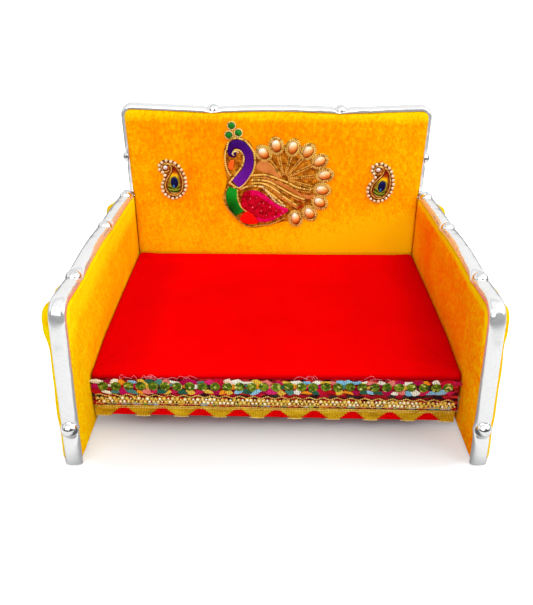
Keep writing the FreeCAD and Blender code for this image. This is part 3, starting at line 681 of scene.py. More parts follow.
def pearl_skin():
    """Gilt-peach drop, peach of its own: cream where it faces up is a painted highlight, burnt
    orange at its lower end painted shade.
    """
    mix = Finish("peach_pearl")
    colour = mix.ramp(
        0.20 * mix.cloud(420, 2, 0.5) + mix.read("tone") - 0.10, (0.06, (0.24, 0.03, 0.001)),
        (0.24, (0.62, 0.15, 0.008)), (0.46, (0.80, 0.34, 0.06)), (0.66, (0.92, 0.62, 0.27)),
        (0.84, (0.99, 0.93, 0.76)))
    return mix.look(colour, 0.28, 0.25, Coat_Weight=0.25, Coat_Roughness=0.05)


def glassy(name, deep, light):
    """A small glossy stone."""
    return clouded(name, 420, [(0.3, deep), (0.7, light)], 0.2, 0.25, 0.5)


def net_cloth():
    """Mustard net with a fine open weave, let down onto the velvet."""
    mix = Finish("peach_net")
    weave = mix.wave(190, 1.2).math("MAXIMUM", mix.wave(190, 1.2, along="Z"))
    colour = mix.ramp(0.10 * weave + 1.2 * mix.cloud(210, 3, 0.65), (0.54, (0.18, 0.04, 0.001)),
                      (0.72, (0.48, 0.17, 0.006)), (0.92, (0.82, 0.38, 0.02)))
    mix.relief(weave, 0.15, 0.5)
    return mix.look(colour, 0.7, 0.05)


def lace_colours():
    """Bright cotton patches; each patch carries its own colour, with a fine stitch over it."""
    mix = Finish("lace_colours")
    own = mix.read("patch_colour", "Color")
    stitch = mix.wave(260, 2.5, 2)
    share = mix.ramp(0.8 * mix.cloud(700, 3, 0.7) + 0.25 * stitch, (0.34, black), (0.48, white))
    mix.relief(stitch, 0.2, 0.6)
    return mix.look(mix.blend(share, mix.blend(0.7, own, (0.10, 0.004, 0.008)), own), 0.6, 0.06)


def lace_ground():
    """The dark crimson ground cloth of the embroidered lace."""
    mix = Finish("lace_ground")
    cloud = mix.cloud(420, 3, 0.65, (0.45, 1, 1.6))
    mix.relief(cloud, 0.3, 0.6)
    return mix.look(mix.ramp(cloud, (0.38, (0.010, 0.002, 0.003)), (0.5, (0.18, 0.006, 0.008)),
                             (0.64, (0.62, 0.03, 0.02))), 0.8, 0.03)


def pink_thread():
    """Frayed pink cotton."""
    return clouded("pink_thread", 300, [(0.3, (0.85, 0.10, 0.16)), (0.7, (0.95, 0.40, 0.46))],
                   0.7, 0.1, 0.5)


def green_glitter():
    """Olive sequin film, crinkled, with lime and yellow glints painted on a few of its cells."""
    mix = Finish("green_glitter")
    cells = mix.node("TexVoronoi", "Color", Vector=mix.where(), Scale=700)
    hue, dull, bump = mix.parts("SeparateColor", cells)
    # The palest, last stop is a painted glint.
    colour = mix.ramp(hue, (0.05, (0.035, 0.060, 0.001)), (0.40, (0.095, 0.16, 0.003)),
                      (0.72, (0.18, 0.26, 0.006)), (0.90, (0.34, 0.38, 0.02)),
                      (0.99, (0.80, 0.76, 0.22)))
    mix.relief(bump, 0.25, 0.7)
    return mix.look(colour, 0.3 * dull + 0.25, 0.2, Metallic=0.25)


def red_backing_cloth():
    """Plain scarlet cloth behind the stepped ribbon."""
    mix = Finish("red_backing")
    fine = mix.cloud(900)
    mix.relief(fine, 0.2, 0.5)
    return mix.look(mix.ramp(fine, (0.35, (0.56, 0.0005, 0.001)), (0.65, (0.82, 0.001, 0.002))),
                    1.0, 0.0)


def woven_gold():
    """Mustard gilt ribbon, ribbed lengthwise along its head and upright below."""
    mix = Finish("woven_gold")
    weave = (0.14 * mix.wave(290, 1.2) + 0.55 * mix.cloud(1100)
             + 0.55 * mix.cloud(230, 2, 0.6, (0.35, 1, 1)))
    colour = mix.ramp(weave, (0.40, (0.28, 0.11, 0.001)), (0.62, (0.60, 0.32, 0.003)),
                      (0.82, (0.86, 0.58, 0.02)))
    mix.relief(weave, 0.3, 0.7)
    return mix.look(colour, 0.55, 0.1, Metallic=0.1)


def seed_beads():
    """Gilt seed beads; the few pale cream ones are painted highlights."""
    mix = Finish("seed_beads")
    colour = mix.ramp(mix.read("tone"), (0.0, (0.32, 0.12, 0.003)), (0.32, (0.70, 0.40, 0.02)),
                      (0.60, (0.92, 0.68, 0.12)), (0.84, (0.98, 0.93, 0.70)))
    return mix.look(colour, 0.25, 0.3, Metallic=0.2)


def paisley_enamel():
    """Enamel leaf: dark red tip, a yellow flame, olive sides and green crescents below."""
    mix = Finish("brooch_enamel")
    colour = mix.ramp(
        0.06 * mix.cloud(500, 2, 0.5) + mix.read("run") - 0.03,
        (0.035, (0.80, 0.50, 0.12)), (0.075, (0.015, 0.06, 0.004)),
        (0.115, (0.02, 0.09, 0.004)), (0.15, (0.42, 0.55, 0.03)), (0.185, (0.008, 0.03, 0.002)),
        (0.235, (0.03, 0.12, 0.004)), (0.275, (0.48, 0.55, 0.05)), (0.33, (0.28, 0.22, 0.01)),
        (0.55, (0.38, 0.22, 0.012)), (0.655, (0.95, 0.62, 0.004)), (0.72, (0.90, 0.45, 0.002)),
        (0.79, (0.45, 0.06, 0.001)), (0.90, (0.22, 0.004, 0.001)))
    edge = mix.ramp(mix.read("tone"), (0.55, black), (0.92, white))
    return mix.look(mix.blend(edge, colour, (0.20, 0.025, 0.001)), 0.25, 0.12)


def dark_plate():
    """Lacquered brass of the brooch's plate, red-brown in its gaps."""
    return clouded("brooch_plate", 420, [
        (0.36, (0.07, 0.006, 0.0005)), (0.52, (0.26, 0.05, 0.002)), (0.70, (0.72, 0.30, 0.03))],
        0.5, 0.1)


def navy_stone():
    """Dark blue foil stone with a painted light blue glint at its foot."""
    mix = Finish("blue_stone")
    tall, wide = 2.6 * (mix.read("run") + 0.62), 3.2 * (mix.read("tone") + 0.16)
    # Painted highlight: a light blue spot at the stone's foot.
    painted_glint = 1.0 - (tall * tall + wide * wide).math("SQRT")
    base = mix.ramp(mix.cloud(900), (0.3, (0.001, 0.001, 0.012)), (0.7, (0.006, 0.010, 0.12)))
    share = mix.ramp(painted_glint, (0.10, black), (0.55, white))
    return mix.look(mix.blend(share, base, (0.02, 0.34, 0.95)), 0.15, 0.12)


def brass_wire():
    """Bright brass wire of the brooch's bezels."""
    return clouded("brooch_brass", 600, [
        (0.36, (0.50, 0.20, 0.006)), (0.56, (0.92, 0.62, 0.12)), (0.72, (0.98, 0.86, 0.42))],
        0.3, 0.2, Metallic=0.4)


def clear_bead():
    """A silvered clear bead."""
    return clouded("clear_bead", 800, [(0.3, (0.62, 0.58, 0.50)), (0.7, (0.97, 0.96, 0.92))],
                   0.08, Metallic=0.35, Coat_Weight=1.0)


def bead_chain():
    """Champagne cup beads of the brooch's outline."""
    return clouded("brooch_bead", 900, [(0.34, (0.66, 0.44, 0.14)), (0.58, (0.95, 0.88, 0.62))],
                   0.2, Metallic=0.15)


# Covers


def stuff_cover(piece, voxel, swell, held):
    """Presses the cloth outward from inside; held says how firmly each point is kept."""
    softened(piece, voxel, 0.5, 2)
    before = [vertex.co.copy() for vertex in piece.data.vertices]
    grips = [min(1.0, max(0.0, held(co))) for co in before]
    keep = piece.vertex_groups.new(name="held")
    for index, grip in enumerate(grips):
        if grip > 0:
            keep.add([index], grip, "REPLACE")
    cloth = piece.modifiers.new("Cloth", "CLOTH")
    cloth.settings.use_pressure = True
    cloth.settings.uniform_pressure_force = 4
    cloth.settings.effector_weights.gravity = 0
    cloth.settings.vertex_group_mass = "held"
    cloth.settings.quality = 4
    cloth.point_cache.frame_start = 1
    cloth.point_cache.frame_end = 20
    for moment in range(1, 21):
        bpy.context.scene.frame_set(moment)
    take(piece)
    bpy.ops.object.modifier_apply(modifier=cloth.name)
    bpy.context.scene.frame_set(1)
    for vertex, start, grip in zip(piece.data.vertices, before, grips):
        move = vertex.co - start
        far = move.length
        if far > 0:
            limit = swell * (1 - grip)
            vertex.co = start + move * (limit * math.tanh(far / swell) / far)
    piece.vertex_groups.clear()
    finish_with(piece, "SUBSURF", levels=1, render_levels=1)
    return smooth(piece, 60)


def open_below(piece, floor_level, margin_of):
    """Cuts away a cover's underside inside its tuck, and gives the cloth its thickness."""
    take(piece)
    bpy.ops.object.mode_set(mode="EDIT")
    bpy.ops.mesh.select_all(action="DESELECT")
    bpy.ops.object.mode_set(mode="OBJECT")
    for face in piece.data.polygons:
        low = all(piece.data.vertices[v].co.z < floor_level + 0.6 * MM for v in face.vertices)
        face.select = low and face.normal.z < -0.7 and margin_of(face.center)
    bpy.ops.object.mode_set(mode="EDIT")
    bpy.ops.mesh.delete(type="FACE")
    bpy.ops.object.mode_set(mode="OBJECT")
    finish_with(piece, "SOLIDIFY", thickness=velvet_thick, offset=-1.0)
    return smooth(piece, 60)


def flatten_below(piece, level):
    """Keeps a piece from reaching under a level."""
    for vertex in piece.data.vertices:
        vertex.co.z = max(vertex.co.z, level)


def wander(co, scale, seed):
    """A slow unevenness of hand-laid cloth, about nought."""
    return noise.noise(Vector((co.x * scale + seed, co.y * scale, co.z * scale)))


arm_puckers = {
    # depth and height from the seat's front and the floor, reach along each, how far out
    -1: ((-22, 92, 8, 14, 2.4), (4, 97, 8, 8, 2.4), (162, 94, 13, 9, 4.6), (70, 96, 30, 9, 0.7)),
    1: ((-22, 92, 8, 14, 0.6), (4, 97, 8, 8, 2.4), (162, 94, 13, 9, 4.6), (70, 96, 30, 9, 0.9)),
}


def arm_pucker(side, co):
    """How far the velvet puckers outward beside the nailed edge at a point."""
    most = 0.0
    for y, z, along, down, far in arm_puckers[side]:
        gap = ((co.y - seat_front - y * MM) / (along * MM)) ** 2 + (
            (co.z - z * MM) / (down * MM)) ** 2
        most = max(most, far * MM * math.exp(-gap))
    return most


def make_arm_cover(side, name, finish, foam):
    """One arm's velvet, stuffed over its padding, and the padding inside it."""
    middle = side * (half_seat + arm_thick / 2)
    cover = drawn_flat(name + "_arm_cover", arm_outline, arm_thick,
                       across(middle - arm_thick / 2), 2.6 * MM)

    def held(co):
        """The strip along the edge is nailed, the foot stands, the seat presses."""
        strip = 1.0 if abs(co.x - side * arm_strip_x) < 4.4 * MM else 0.0
        rim = under(edge_distance(co), 2, 2) * strip
        foot = under(co.z, 7, 7)
        inner = abs(co.x) < half_seat + 3 * MM
        by_seat = under(co.z, 52, 10) * above(co.y - seat_front, -6, 6)
        by_back = above(co.y - back_front, -6, 6) * under(co.z - back_high.z, 0, 8)
        press = max(by_seat, by_back) if inner else 0.0
        return max(rim, foot, press)

    stuff_cover(cover, 2.4 * MM, 2.9 * MM, held)
    ways = [vertex.normal.copy() for vertex in cover.data.vertices]
    for vertex, way in zip(cover.data.vertices, ways):
        outward = 1 if vertex.co.x > middle else -1
        rim = edge_distance(vertex.co)
        lift = wander(vertex.co, 38, 3.0 + side) * 0.35 * MM
        if outward == side:
            lift += arm_pucker(side, vertex.co) * (0.45 + 0.55 * above(rim, 0, 2.5))
            lift += 0.6 * MM * under(rim, 5, 3) * above(vertex.co.z, 20, 12)
        else:
            below = above(rim, 0, 3.0) * under(rim, 24, 16)
            lift += 1.3 * MM * below * above(vertex.co.z, 55, 20)
        near = min(0.0, 0.5 * outward * (vertex.co.x - middle) / arm_thick)
        roll = under(rim, 3.8, 2.4) * above(arm_strip_x - abs(vertex.co.x), 3.2, 1.4)
        vertex.co.x += outward * lift * (1 - held(vertex.co)) * (1 + near)
        vertex.co += way * roll * 1.2 * MM
    flatten_below(cover, 0.0)
    open_below(cover, 0.0, lambda c: abs(c.x - middle) < arm_thick / 2 - 1.6 * MM
               and arm_foot[0] + 1.6 * MM < c.y < arm_rear_foot[0] - 1.6 * MM)

    def nap(co, index):
        """Painted light: lighter where the velvet turns up to the lamp, just beside the nailed edge.
        """
        rim = edge_distance(co)
        if abs(co.x) > half_seat + arm_thick - 3 * MM:
            return (0.32 if side > 0 else 0.12) + 0.12 * under(rim, 5, 3)
        rear = above(co.y - seat_front, 130, 40)
        high = above(co.z, 76, 14)
        if side > 0:
            front = under(co.y - seat_front, 45, 60)
            upper = under(rim, 5.2, 2.4) * high
            return 0.01 + front * 0.07 + upper * 0.66 + rear * 0.14 * (1 - upper)
        return 0.04 + 0.62 * under(rim, 28, 22) * high * (0.55 + 0.45 * rear)

    def crease_shade(co, index):
        """Painted shade: dark orange where the velvet dips under the strip."""
        dip = 1 - above(edge_distance(co), 0, 0.9)
        return 0.35 * dip * (0.7 + 0.6 * wander(co, 90, 5.0))

    tone(cover, "nap", nap)
    tone(cover, "painted_shade", crease_shade)
    dress(cover, finish, "marigold_velvet", name + "_arm_velvet")
    pad_thick, pad_share = 1.2 * MM, 1 - 7 / 60
    centre = Vector((seat_front + 81 * MM, 50 * MM))
    inner_line = [tuple(centre + (Vector(point) - centre) * pad_share) for point in arm_outline]
    pads = []
    for start in (half_seat + velvet_thick + 0.7 * MM,
                  half_seat + arm_thick - velvet_thick - 1.9 * MM):
        low_x = start if side > 0 else -start - pad_thick
        pads.append(drawn_flat(name + "_pad", inner_line, pad_thick, across(low_x), 0.4 * MM))
    padding = gather(pads, name + "_arm_pads")
    dress(padding, foam, "foam", name + "_arm_padding")


arm_line = [Vector(point) for point in arm_outline]


def edge_distance(co):
    """How far a point of an arm's side lies from the arm's outline."""
    return off_line(Vector((co.y, co.z)), arm_line)[0]


def make_back_cover(finish, foam):
    """The back's velvet over its padding."""
    thick = back_high.y - back_low.y
    cover = drawn_flat("back_cover", back_outline, thick, facing(back_high.y), 2.6 * MM)

    def held(co):
        """The top strip is nailed; the foot and the ends between the arms are pressed."""
        strip = 1.0 if abs(co.y - back_strip_y) < 4.4 * MM else 0.0
        top = above(co.z - back_top_nail[1], -2.5, 2.5)
        side = above(abs(co.x) - half_seat, -2.5, 2.5)
        between = under(co.z, 98, 6) * above(abs(co.x) - half_seat, -7, 7)
        foot = under(co.z, 52, 9)
        rear = above(co.y - back_high.y, -4, 3) * 0.55
        return max(max(top, side) * strip, between, foot, rear)

    stuff_cover(cover, 2.7 * MM, 2.3 * MM, held)
    for vertex in cover.data.vertices:
        near = under(vertex.co.y - back_front, 6.5, 4.5)
        if abs(vertex.co.x) > half_seat - 6 * MM:
            high = above(vertex.co.z, 98, 6)
            corner = above(vertex.co.z, 138, 14)
            vertex.co.x += math.copysign(1.6 + 1.0 * corner, vertex.co.x) * MM * near * high
        if vertex.co.z > back_top_nail[1] - 4 * MM:
            vertex.co.z += 0.4 * MM * near
        if vertex.co.y < back_front:
            vertex.co.y = back_front + 0.04 * (vertex.co.y - back_front)
        if vertex.co.y < back_front + 2 * MM:
            vertex.co.y += (wander(vertex.co, 30, 9.0) * 0.24 * MM - 0.06 * MM) * (
                1 - held(vertex.co))

    def nap(co, index):
        """Painted light on the front: paler toward the sides, low down, along the top and toward the
        right, deeper round the bird.
        """
        if co.y > back_front + 4 * MM:
            return 0.04
        side = above(abs(co.x), 60, 55)
        low = under(co.z, 104, 52)
        top = above(co.z - back_top_nail[1], -9, 8)
        return (-0.04 + 0.06 * side + 0.33 * low + 0.36 * top
                + 0.22 * above(co.x, -10, 70) * low + 0.06 * above(co.x, 0, 60))

    tone(cover, "nap", nap)
    # Painted shade along the foot of the back's front, where the seat meets it.
    tone(cover, "painted_shade", lambda co, index: 0.3 * under(co.z, 47.5, 1.5) * (
        co.y < back_front + 2 * MM))
    open_below(cover, back_low.z, lambda c: abs(c.x) < half_seat - 2 * MM
               and back_low.y + 1.6 * MM < c.y < back_high.y - 1.6 * MM)
    dress(cover, finish, "marigold_velvet", "back_velvet")
    inset_line = [(x * (1 - 5 / 120), 90 * MM + (z - 90 * MM) * (1 - 6 / 78))
                  for x, z in back_outline]
    pad_back = back_low.y + velvet_thick + 2.4 * MM
    padding = drawn_flat("back_pad", inset_line, 1.7 * MM, facing(pad_back), 0.6 * MM)
    dress(padding, foam, "foam", "back_padding")


def make_seat_cover(finish, foam):
    """The red velvet of the seat, stuffed over its foam and tucked under the board."""
    size = seat_high - seat_low
    bpy.ops.mesh.primitive_cube_add(size=1, location=(seat_low + seat_high) / 2)
    cover = bpy.context.object
    cover.scale = (size.x, size.y, size.z - 0.6 * MM)
    cover.location.z -= 0.3 * MM
    cover = plain_piece("seat_cover")
    top = max(vertex.co.z for vertex in cover.data.vertices)
    weights = cover.data.attributes.new("bevel_weight_edge", "FLOAT", "EDGE")
    for edge in cover.data.edges:
        start, end = (cover.data.vertices[v].co for v in edge.vertices)
        if min(start.z, end.z) > top - MM:
            is_front = max(start.y, end.y) < seat_front + MM
            weights.data[edge.index].value = 1.0 if is_front else 0.15
    finish_with(cover, "BEVEL", width=6 * MM, segments=5, limit_method="WEIGHT")

    def held(co):
        """Glued along the front under the laces, pressed between the arms and the back."""
        foot = under(co.z - seat_low.z, 5, 4)
        front = under(co.y - seat_front, 2.5, 2) * under(co.z, 39.5, 4)
        low = under(co.z - seat_high.z, -2, 3)
        ends = above(abs(co.x) - half_seat, -2, 1.5) * low
        rear = above(co.y - back_front, -2, 1.5) * low
        return max(foot, front, ends, rear)

    stuff_cover(cover, 3.0 * MM, 1.3 * MM, held)
    for vertex in cover.data.vertices:
        if vertex.co.z > seat_high.z - 5 * MM:
            plump = 3.4 * MM - 0.3 * MM * vertex.co.x / half_seat
            vertex.co.z += (wander(vertex.co, 16, 21.0) * 0.35 * MM
                            + plump * above(vertex.co.y - seat_front, 5, 46))
        vertex.co.y = min(vertex.co.y, seat_high.y)
        vertex.co.x = min(half_seat - 0.1 * MM, max(0.1 * MM - half_seat, vertex.co.x))
    flatten_below(cover, seat_low.z)
    open_below(cover, seat_low.z, lambda c: c.y > seat_front + 15 * MM)

    def painted_shade(co, index):
        """Painted shade: dark where the velvet goes over the front edge, in beside the arms and by
        the back, with painted shadows of the arms across the seat, deepest by the right arm.
        """
        over = under(co.y - seat_front, 4.2, 3.4) * under(co.z, 40.4, 1.2)
        ends = above(abs(co.x) - half_seat, -1.6, 1.4) * (0.6 if co.x > 0 else 0.15)
        rear = above(co.y - back_front, -3, 3) * 0.25
        gap = half_seat - abs(co.x)
        shade = (0.40 * max(0.0, 1 - gap / (34 * MM)) ** 1.3 if co.x > 0
                 else 0.13 * under(gap, 46, 20))
        return max(over * 0.6, ends, rear, shade)

    tone(cover, "painted_shade", painted_shade)
    dress(cover, finish, "red_velvet", "seat_velvet")
    foam_low, foam_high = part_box("seat_foam")
    bpy.ops.mesh.primitive_cube_add(size=1, location=(foam_low + foam_high) / 2)
    block = bpy.context.object
    block.scale = foam_high - foam_low - Vector((2 * MM, 2 * MM, 1.6 * MM))
    block.location.z -= 0.7 * MM
    block = plain_piece("seat_foam_block")
    finish_with(block, "BEVEL", width=5 * MM, segments=4)
    smooth(block)
    dress(block, foam, "foam", "seat_foam")


# Trim and nails


def bend_strip(name, route, place, outward_of, nails, crooked, side_rise=strip_rise):
    """Half-round strip: its end is drawn once and pulled from stop to stop along the edge."""
    count = 17
    stops = [Vector(point) for point in route]
    lengths = [0.0]
    for start, end in zip(stops, stops[1:]):
        lengths.append(lengths[-1] + (end - start).length)
    total = lengths[-1]
    ends = [any((stops[k] - Vector(nail)).length < MM for nail in nails) for k in (0, -1)]
    sections = []
    for index, stop in enumerate(stops):
        before, after = stops[max(index - 1, 0)], stops[min(index + 1, len(stops) - 1)]
        run = (after - before).normalized()
        out = outward_of(stop, Vector((-run.y, run.x)))
        width, shift = strip_width / 2, 0.0
        rise = side_rise if abs(run.y) > 0.8 else strip_rise
        for is_nail, reach, lean in ((ends[0], lengths[index], crooked[0]),
                                     (ends[1], total - lengths[index], crooked[1])):
            if is_nail:
                press = 1 - above(reach, 0, 8.5)
                width *= 1 + 0.10 * press - 0.14 * above(reach, 0, 6) * press
                rise *= 1 - 0.66 * press
                shift += lean * MM * press
        rise *= 1 + 0.06 * noise.noise(Vector((stop.x * 60, stop.y * 60, lengths[index] * 40)))
        along = stop
        if index in (0, len(stops) - 1) and ends[0 if index == 0 else 1]:
            along = stop + run * (0.2 * MM if index == 0 else -0.2 * MM)
        section = []
        for k in range(count):
            angle = math.pi * k / (count - 1)
            across_share = math.copysign(abs(math.cos(angle)) ** 0.74, math.cos(angle))
            base = along + out * (rise * math.sin(angle) ** 0.74 + 0.02 * MM)
            section.append((base.x, base.y, -width * across_share + shift))
        sections.append(section)
    strip = disc(name, strip_width, count)
    open_mesh()
    shape = bmesh.from_edit_mesh(strip.data)
    for vertex, point in zip(shape.verts, sections[0]):
        vertex.co = point
    for before, section in zip(sections, sections[1:]):
        pull(0)
        shape = bmesh.from_edit_mesh(strip.data)
        fresh = [vertex for vertex in shape.verts if vertex.select]
        for old, point in zip(before, section):
            place_of = Vector(old)
            nearest = min(fresh, key=lambda vertex: (vertex.co - place_of).length_squared)
            fresh.remove(nearest)
            nearest.co = point
    bmesh.update_edit_mesh(strip.data)
    close_mesh()
    strip.data.transform(place)
    face_out(strip)
    return smooth(strip, 50)


def up_and_out(stop, side_way):
    """The way out of an arm at a stop of its outline."""
    return side_way if side_way.y > 0 or side_way.x < -0.5 else -side_way


def from_middle(stop, side_way):
    """The way out of the back at a stop of its outline."""
    return side_way if side_way.dot(stop - Vector((0, 80 * MM))) > 0 else -side_way


def domed_nails(name, places):
    """Domed caps on their shanks, modelled once and set at each place."""
    dome = ball("dome", 5.15 * MM, 32, 16)
    open_mesh()
    bpy.ops.mesh.bisect(plane_co=(0, 0, 0), plane_no=(0, 0, 1), clear_inner=True, use_fill=True)
    close_mesh()
    dome.data.transform(Matrix.Diagonal((1, 1, 0.93, 1)))
    for face in dome.data.polygons:
        face.select = face.normal.z < -0.9
    bpy.ops.object.mode_set(mode="EDIT")
    bpy.ops.mesh.select_mode(type="FACE")
    bpy.ops.mesh.inset(thickness=0.9 * MM, depth=0.0)
    pull(0.5 * MM, (3.35 * MM, 0.0))
    pull(-13 * MM)
    pull(-1.6 * MM)
    bpy.ops.transform.resize(value=(0.05, 0.05, 1))
    close_mesh()
    rim = hoop("rim", 5.0 * MM, 0.33 * MM, 32, 8)
    rim.data.transform(Matrix.Translation((0, 0, 0.3 * MM)))
    return smooth(copies(gather([dome, rim], "dome"), places, name), 35)


def nail_place(point, out, lean):
    """Stands a nail on its spot, its head on the pressed strip, a little askew."""
    turn = Vector((0, 0, 1)).rotation_difference((out + lean).normalized()).to_matrix().to_4x4()
    return Matrix.Translation(point + out * tab_thick) @ turn


def make_trim(finish, cap_finish):
    """Every length of bright trim and every domed nail."""
    luck = random.Random(7)
    for side, name in ((-1, "left"), (1, "right")):
        x = side * arm_strip_x
        for part, run in arm_trim_runs.items():
            crooked = (sway(luck, 0.5), sway(luck, 0.5))
            strip = bend_strip(name + "_trim_" + part, run, across(x), up_and_out, arm_nails,
                               crooked, 2.8 * MM)
            dress(strip, finish, "bright_trim", name + "_arm_trim_" + part)
        places = []
        slope = (Vector(arm_corner) - Vector(arm_foot)).normalized()
        for point in arm_nails:
            out = Vector((0, 0, 1)) if point != arm_low_nail else Vector((0, -slope.y, slope.x))
            lean = Vector((sway(luck, 0.06), sway(luck, 0.06), 0))
            off = side * 0.4 * MM
            places.append(nail_place(Vector((x + off, point[0], point[1])), out, lean))
        nails = domed_nails(name + "_nails", places)
        dress(nails, cap_finish, "bright_trim", name + "_arm_dome_nails")
    spots = [(-back_side_nail[0], back_side_nail[1]), (-back_top_nail[0], back_top_nail[1]),
             back_top_nail, back_side_nail]
    for part, run in back_trim_runs.items():
        crooked = (sway(luck, 0.4), sway(luck, 0.4))
        strip = bend_strip("back_strip_" + part, run, facing(back_strip_y), from_middle, spots,
                           crooked, 3.2 * MM)
        dress(strip, finish, "bright_trim", "back_trim_" + part)
    places = []
    for point in spots:
        out = Vector((0, 0, 1))
        if abs(point[0]) > 100 * MM:
            out = Vector((math.copysign(1, point[0]), 0, 0))
        lean = Vector((sway(luck, 0.05), sway(luck, 0.05), 0))
        places.append(nail_place(Vector((point[0], back_strip_y, point[1])), out, lean))
    nails = domed_nails("back_cap_nails", places)
    dress(nails, cap_finish, "bright_trim", "back_dome_nails")


# Laces


lace_left, lace_right = lace_low.x, lace_high.x
lace_tops = (0.865 * front_height, 0.843 * front_height)
lace_feet = (0.421 * front_height, 0.318 * front_height)
gold_feet = (0.224 * front_height, 0.108 * front_height)
sequin_pitch = 7.95 * MM
sequin_count = int((lace_right - lace_left) / sequin_pitch)
sequin_start = lace_left + (lace_right - lace_left - sequin_pitch * (sequin_count - 1)) / 2
lace_face = seat_front - 0.8 * MM


def falling(pair, x):
    """The height at x of a line that falls from left to right across the seat's front."""
    return pair[0] + (pair[1] - pair[0]) * (x - lace_left) / (lace_right - lace_left)


def scrap(name, sides, slim):
    """One small stitched patch, domed: modelled once for all of its kind."""
    piece = disc(name, 0.5, sides)
    for vertex in piece.data.vertices:
        bend = noise.noise(vertex.co * 3.1 + Vector((slim * 9, sides, 0)))
        vertex.co *= 1 + 0.5 * bend
        vertex.co.y *= slim + (1 - slim) * abs(vertex.co.x) * 0.4
    open_mesh()
    pull(0.55, (0.10, 0.3), (0.12, 0.15))
    close_mesh()
    return face_out(piece)


def scatter_scraps(name, kinds, spots):
    """Sets patches in a row, each with its own size, turn and colour."""
    made = []
    for kind, x, z, out, wide, high, turn, colour in spots:
        mesh = kinds[kind].data.copy()
        mesh.transform(Matrix.Translation((x, lace_face + out * MM, z))
                       @ Matrix.Rotation(turn, 4, "Y")
                       @ Matrix(((wide, 0, 0, 0), (0, 0, -0.45 * MM, 0), (0, high, 0, 0),
                                 (0, 0, 0, 1))))
        own = mesh.attributes.new("patch_colour", "FLOAT_COLOR", "POINT")
        own.data.foreach_set("color", (*colour, 1) * len(mesh.vertices))
        made.append(put(name, mesh))
    return smooth(face_out(gather(made, name)), 60)


bright_patches = [(0.52, 0.003, 0.10), (0.42, 0.002, 0.06), (0.72, 0.02, 0.16), (0.88, 0.86, 0.70),
                  (0.26, 0.56, 0.72), (0.20, 0.52, 0.74), (0.90, 0.30, 0.01), (0.80, 0.20, 0.16),
                  (0.01, 0.12, 0.07), (0.06, 0.24, 0.20), (0.50, 0.004, 0.01), (0.80, 0.50, 0.05),
                  (0.60, 0.004, 0.03), (0.90, 0.62, 0.48), (0.60, 0.01, 0.08), (0.84, 0.80, 0.66)]
low_patches = [(0.22, 0.54, 0.72), (0.60, 0.004, 0.01), (0.86, 0.82, 0.68), (0.05, 0.26, 0.03),
               (0.62, 0.02, 0.06), (0.36, 0.52, 0.03), (0.86, 0.28, 0.01), (0.02, 0.01, 0.01),
               (0.04, 0.26, 0.20), (0.50, 0.004, 0.02), (0.24, 0.56, 0.74), (0.40, 0.003, 0.01)]
dark_patches = [(0.40, 0.004, 0.02), (0.015, 0.008, 0.01), (0.30, 0.004, 0.01), (0.03, 0.03, 0.02)]


def make_front_lace():
    """The embroidered lace: ground, patches, sequins, gilt waves and beads."""
    luck = random.Random(31)
    ground = drawn_flat("lace_ribbon", [
        (lace_left - 1.1 * MM, falling(lace_feet, lace_left)),
        (lace_right + 1.3 * MM, falling(lace_feet, lace_right)),
        (lace_right - 0.9 * MM, falling(lace_tops, lace_right)),
        (lace_left + 0.9 * MM, falling(lace_tops, lace_left))],
        0.8 * MM, facing(seat_front - 0.02 * MM), 0.15 * MM)
    dress(ground, lace_ground(), "bright_lace", "front_lace")
    kinds = [scrap("scrap_leaf", 9, 0.62), scrap("scrap_round", 8, 0.95),
             scrap("scrap_ragged", 7, 0.8), scrap("scrap_long", 10, 0.5)]
    spots = []

    def row(top_gap, spread, pitch, wide, high, colours, jitter, out=0.1):
        """One row of patches below the lace's top; its lengths are in millimetres."""
        x = lace_left + wide * MM * 0.35
        last = None
        while x < lace_right - wide * MM * 0.35:
            last = luck.choice([c for c in colours if c != last])
            w = wide * MM * luck.uniform(0.7, 1.35)
            z = falling(lace_tops, x) - top_gap * MM - luck.uniform(0, spread * MM)
            spots.append((luck.randrange(4), x, z, out, w, high * MM * luck.uniform(0.75, 1.25),
                          sway(luck, jitter), last))
            x += pitch * MM * luck.uniform(0.75, 1.25)

    row(5.0, 0.8, 5.4, 6.6, 5.0, bright_patches + dark_patches, 0.4, 0.25)
    row(1.9, 0.6, 5.8, 8.2, 4.2, bright_patches, 0.3)
    row(9.2, 0.9, 5.2, 7.0, 4.2, bright_patches, 0.4, 0.05)
    row(12.4, 0.8, 6.2, 6.6, 3.2, dark_patches, 0.25, 0.15)
    x = lace_left + 2 * MM
    while x < lace_right - 1.5 * MM:
        spots.append((luck.randrange(4), x, falling(lace_feet, x) + 1.4 * MM, 0.1,
                      luck.uniform(3.2, 5.6) * MM, luck.uniform(2.3, 3.0) * MM,
                      sway(luck, 0.15), luck.choice(low_patches)))
        x += luck.uniform(2.6, 4.4) * MM
    dress(scatter_scraps("lace_patches", kinds, spots), lace_colours(), "bright_lace")
    for kind in kinds:
        bpy.data.objects.remove(kind)
    make_sequins(luck)
    make_bead_rows(luck)
    make_loose_threads(luck)


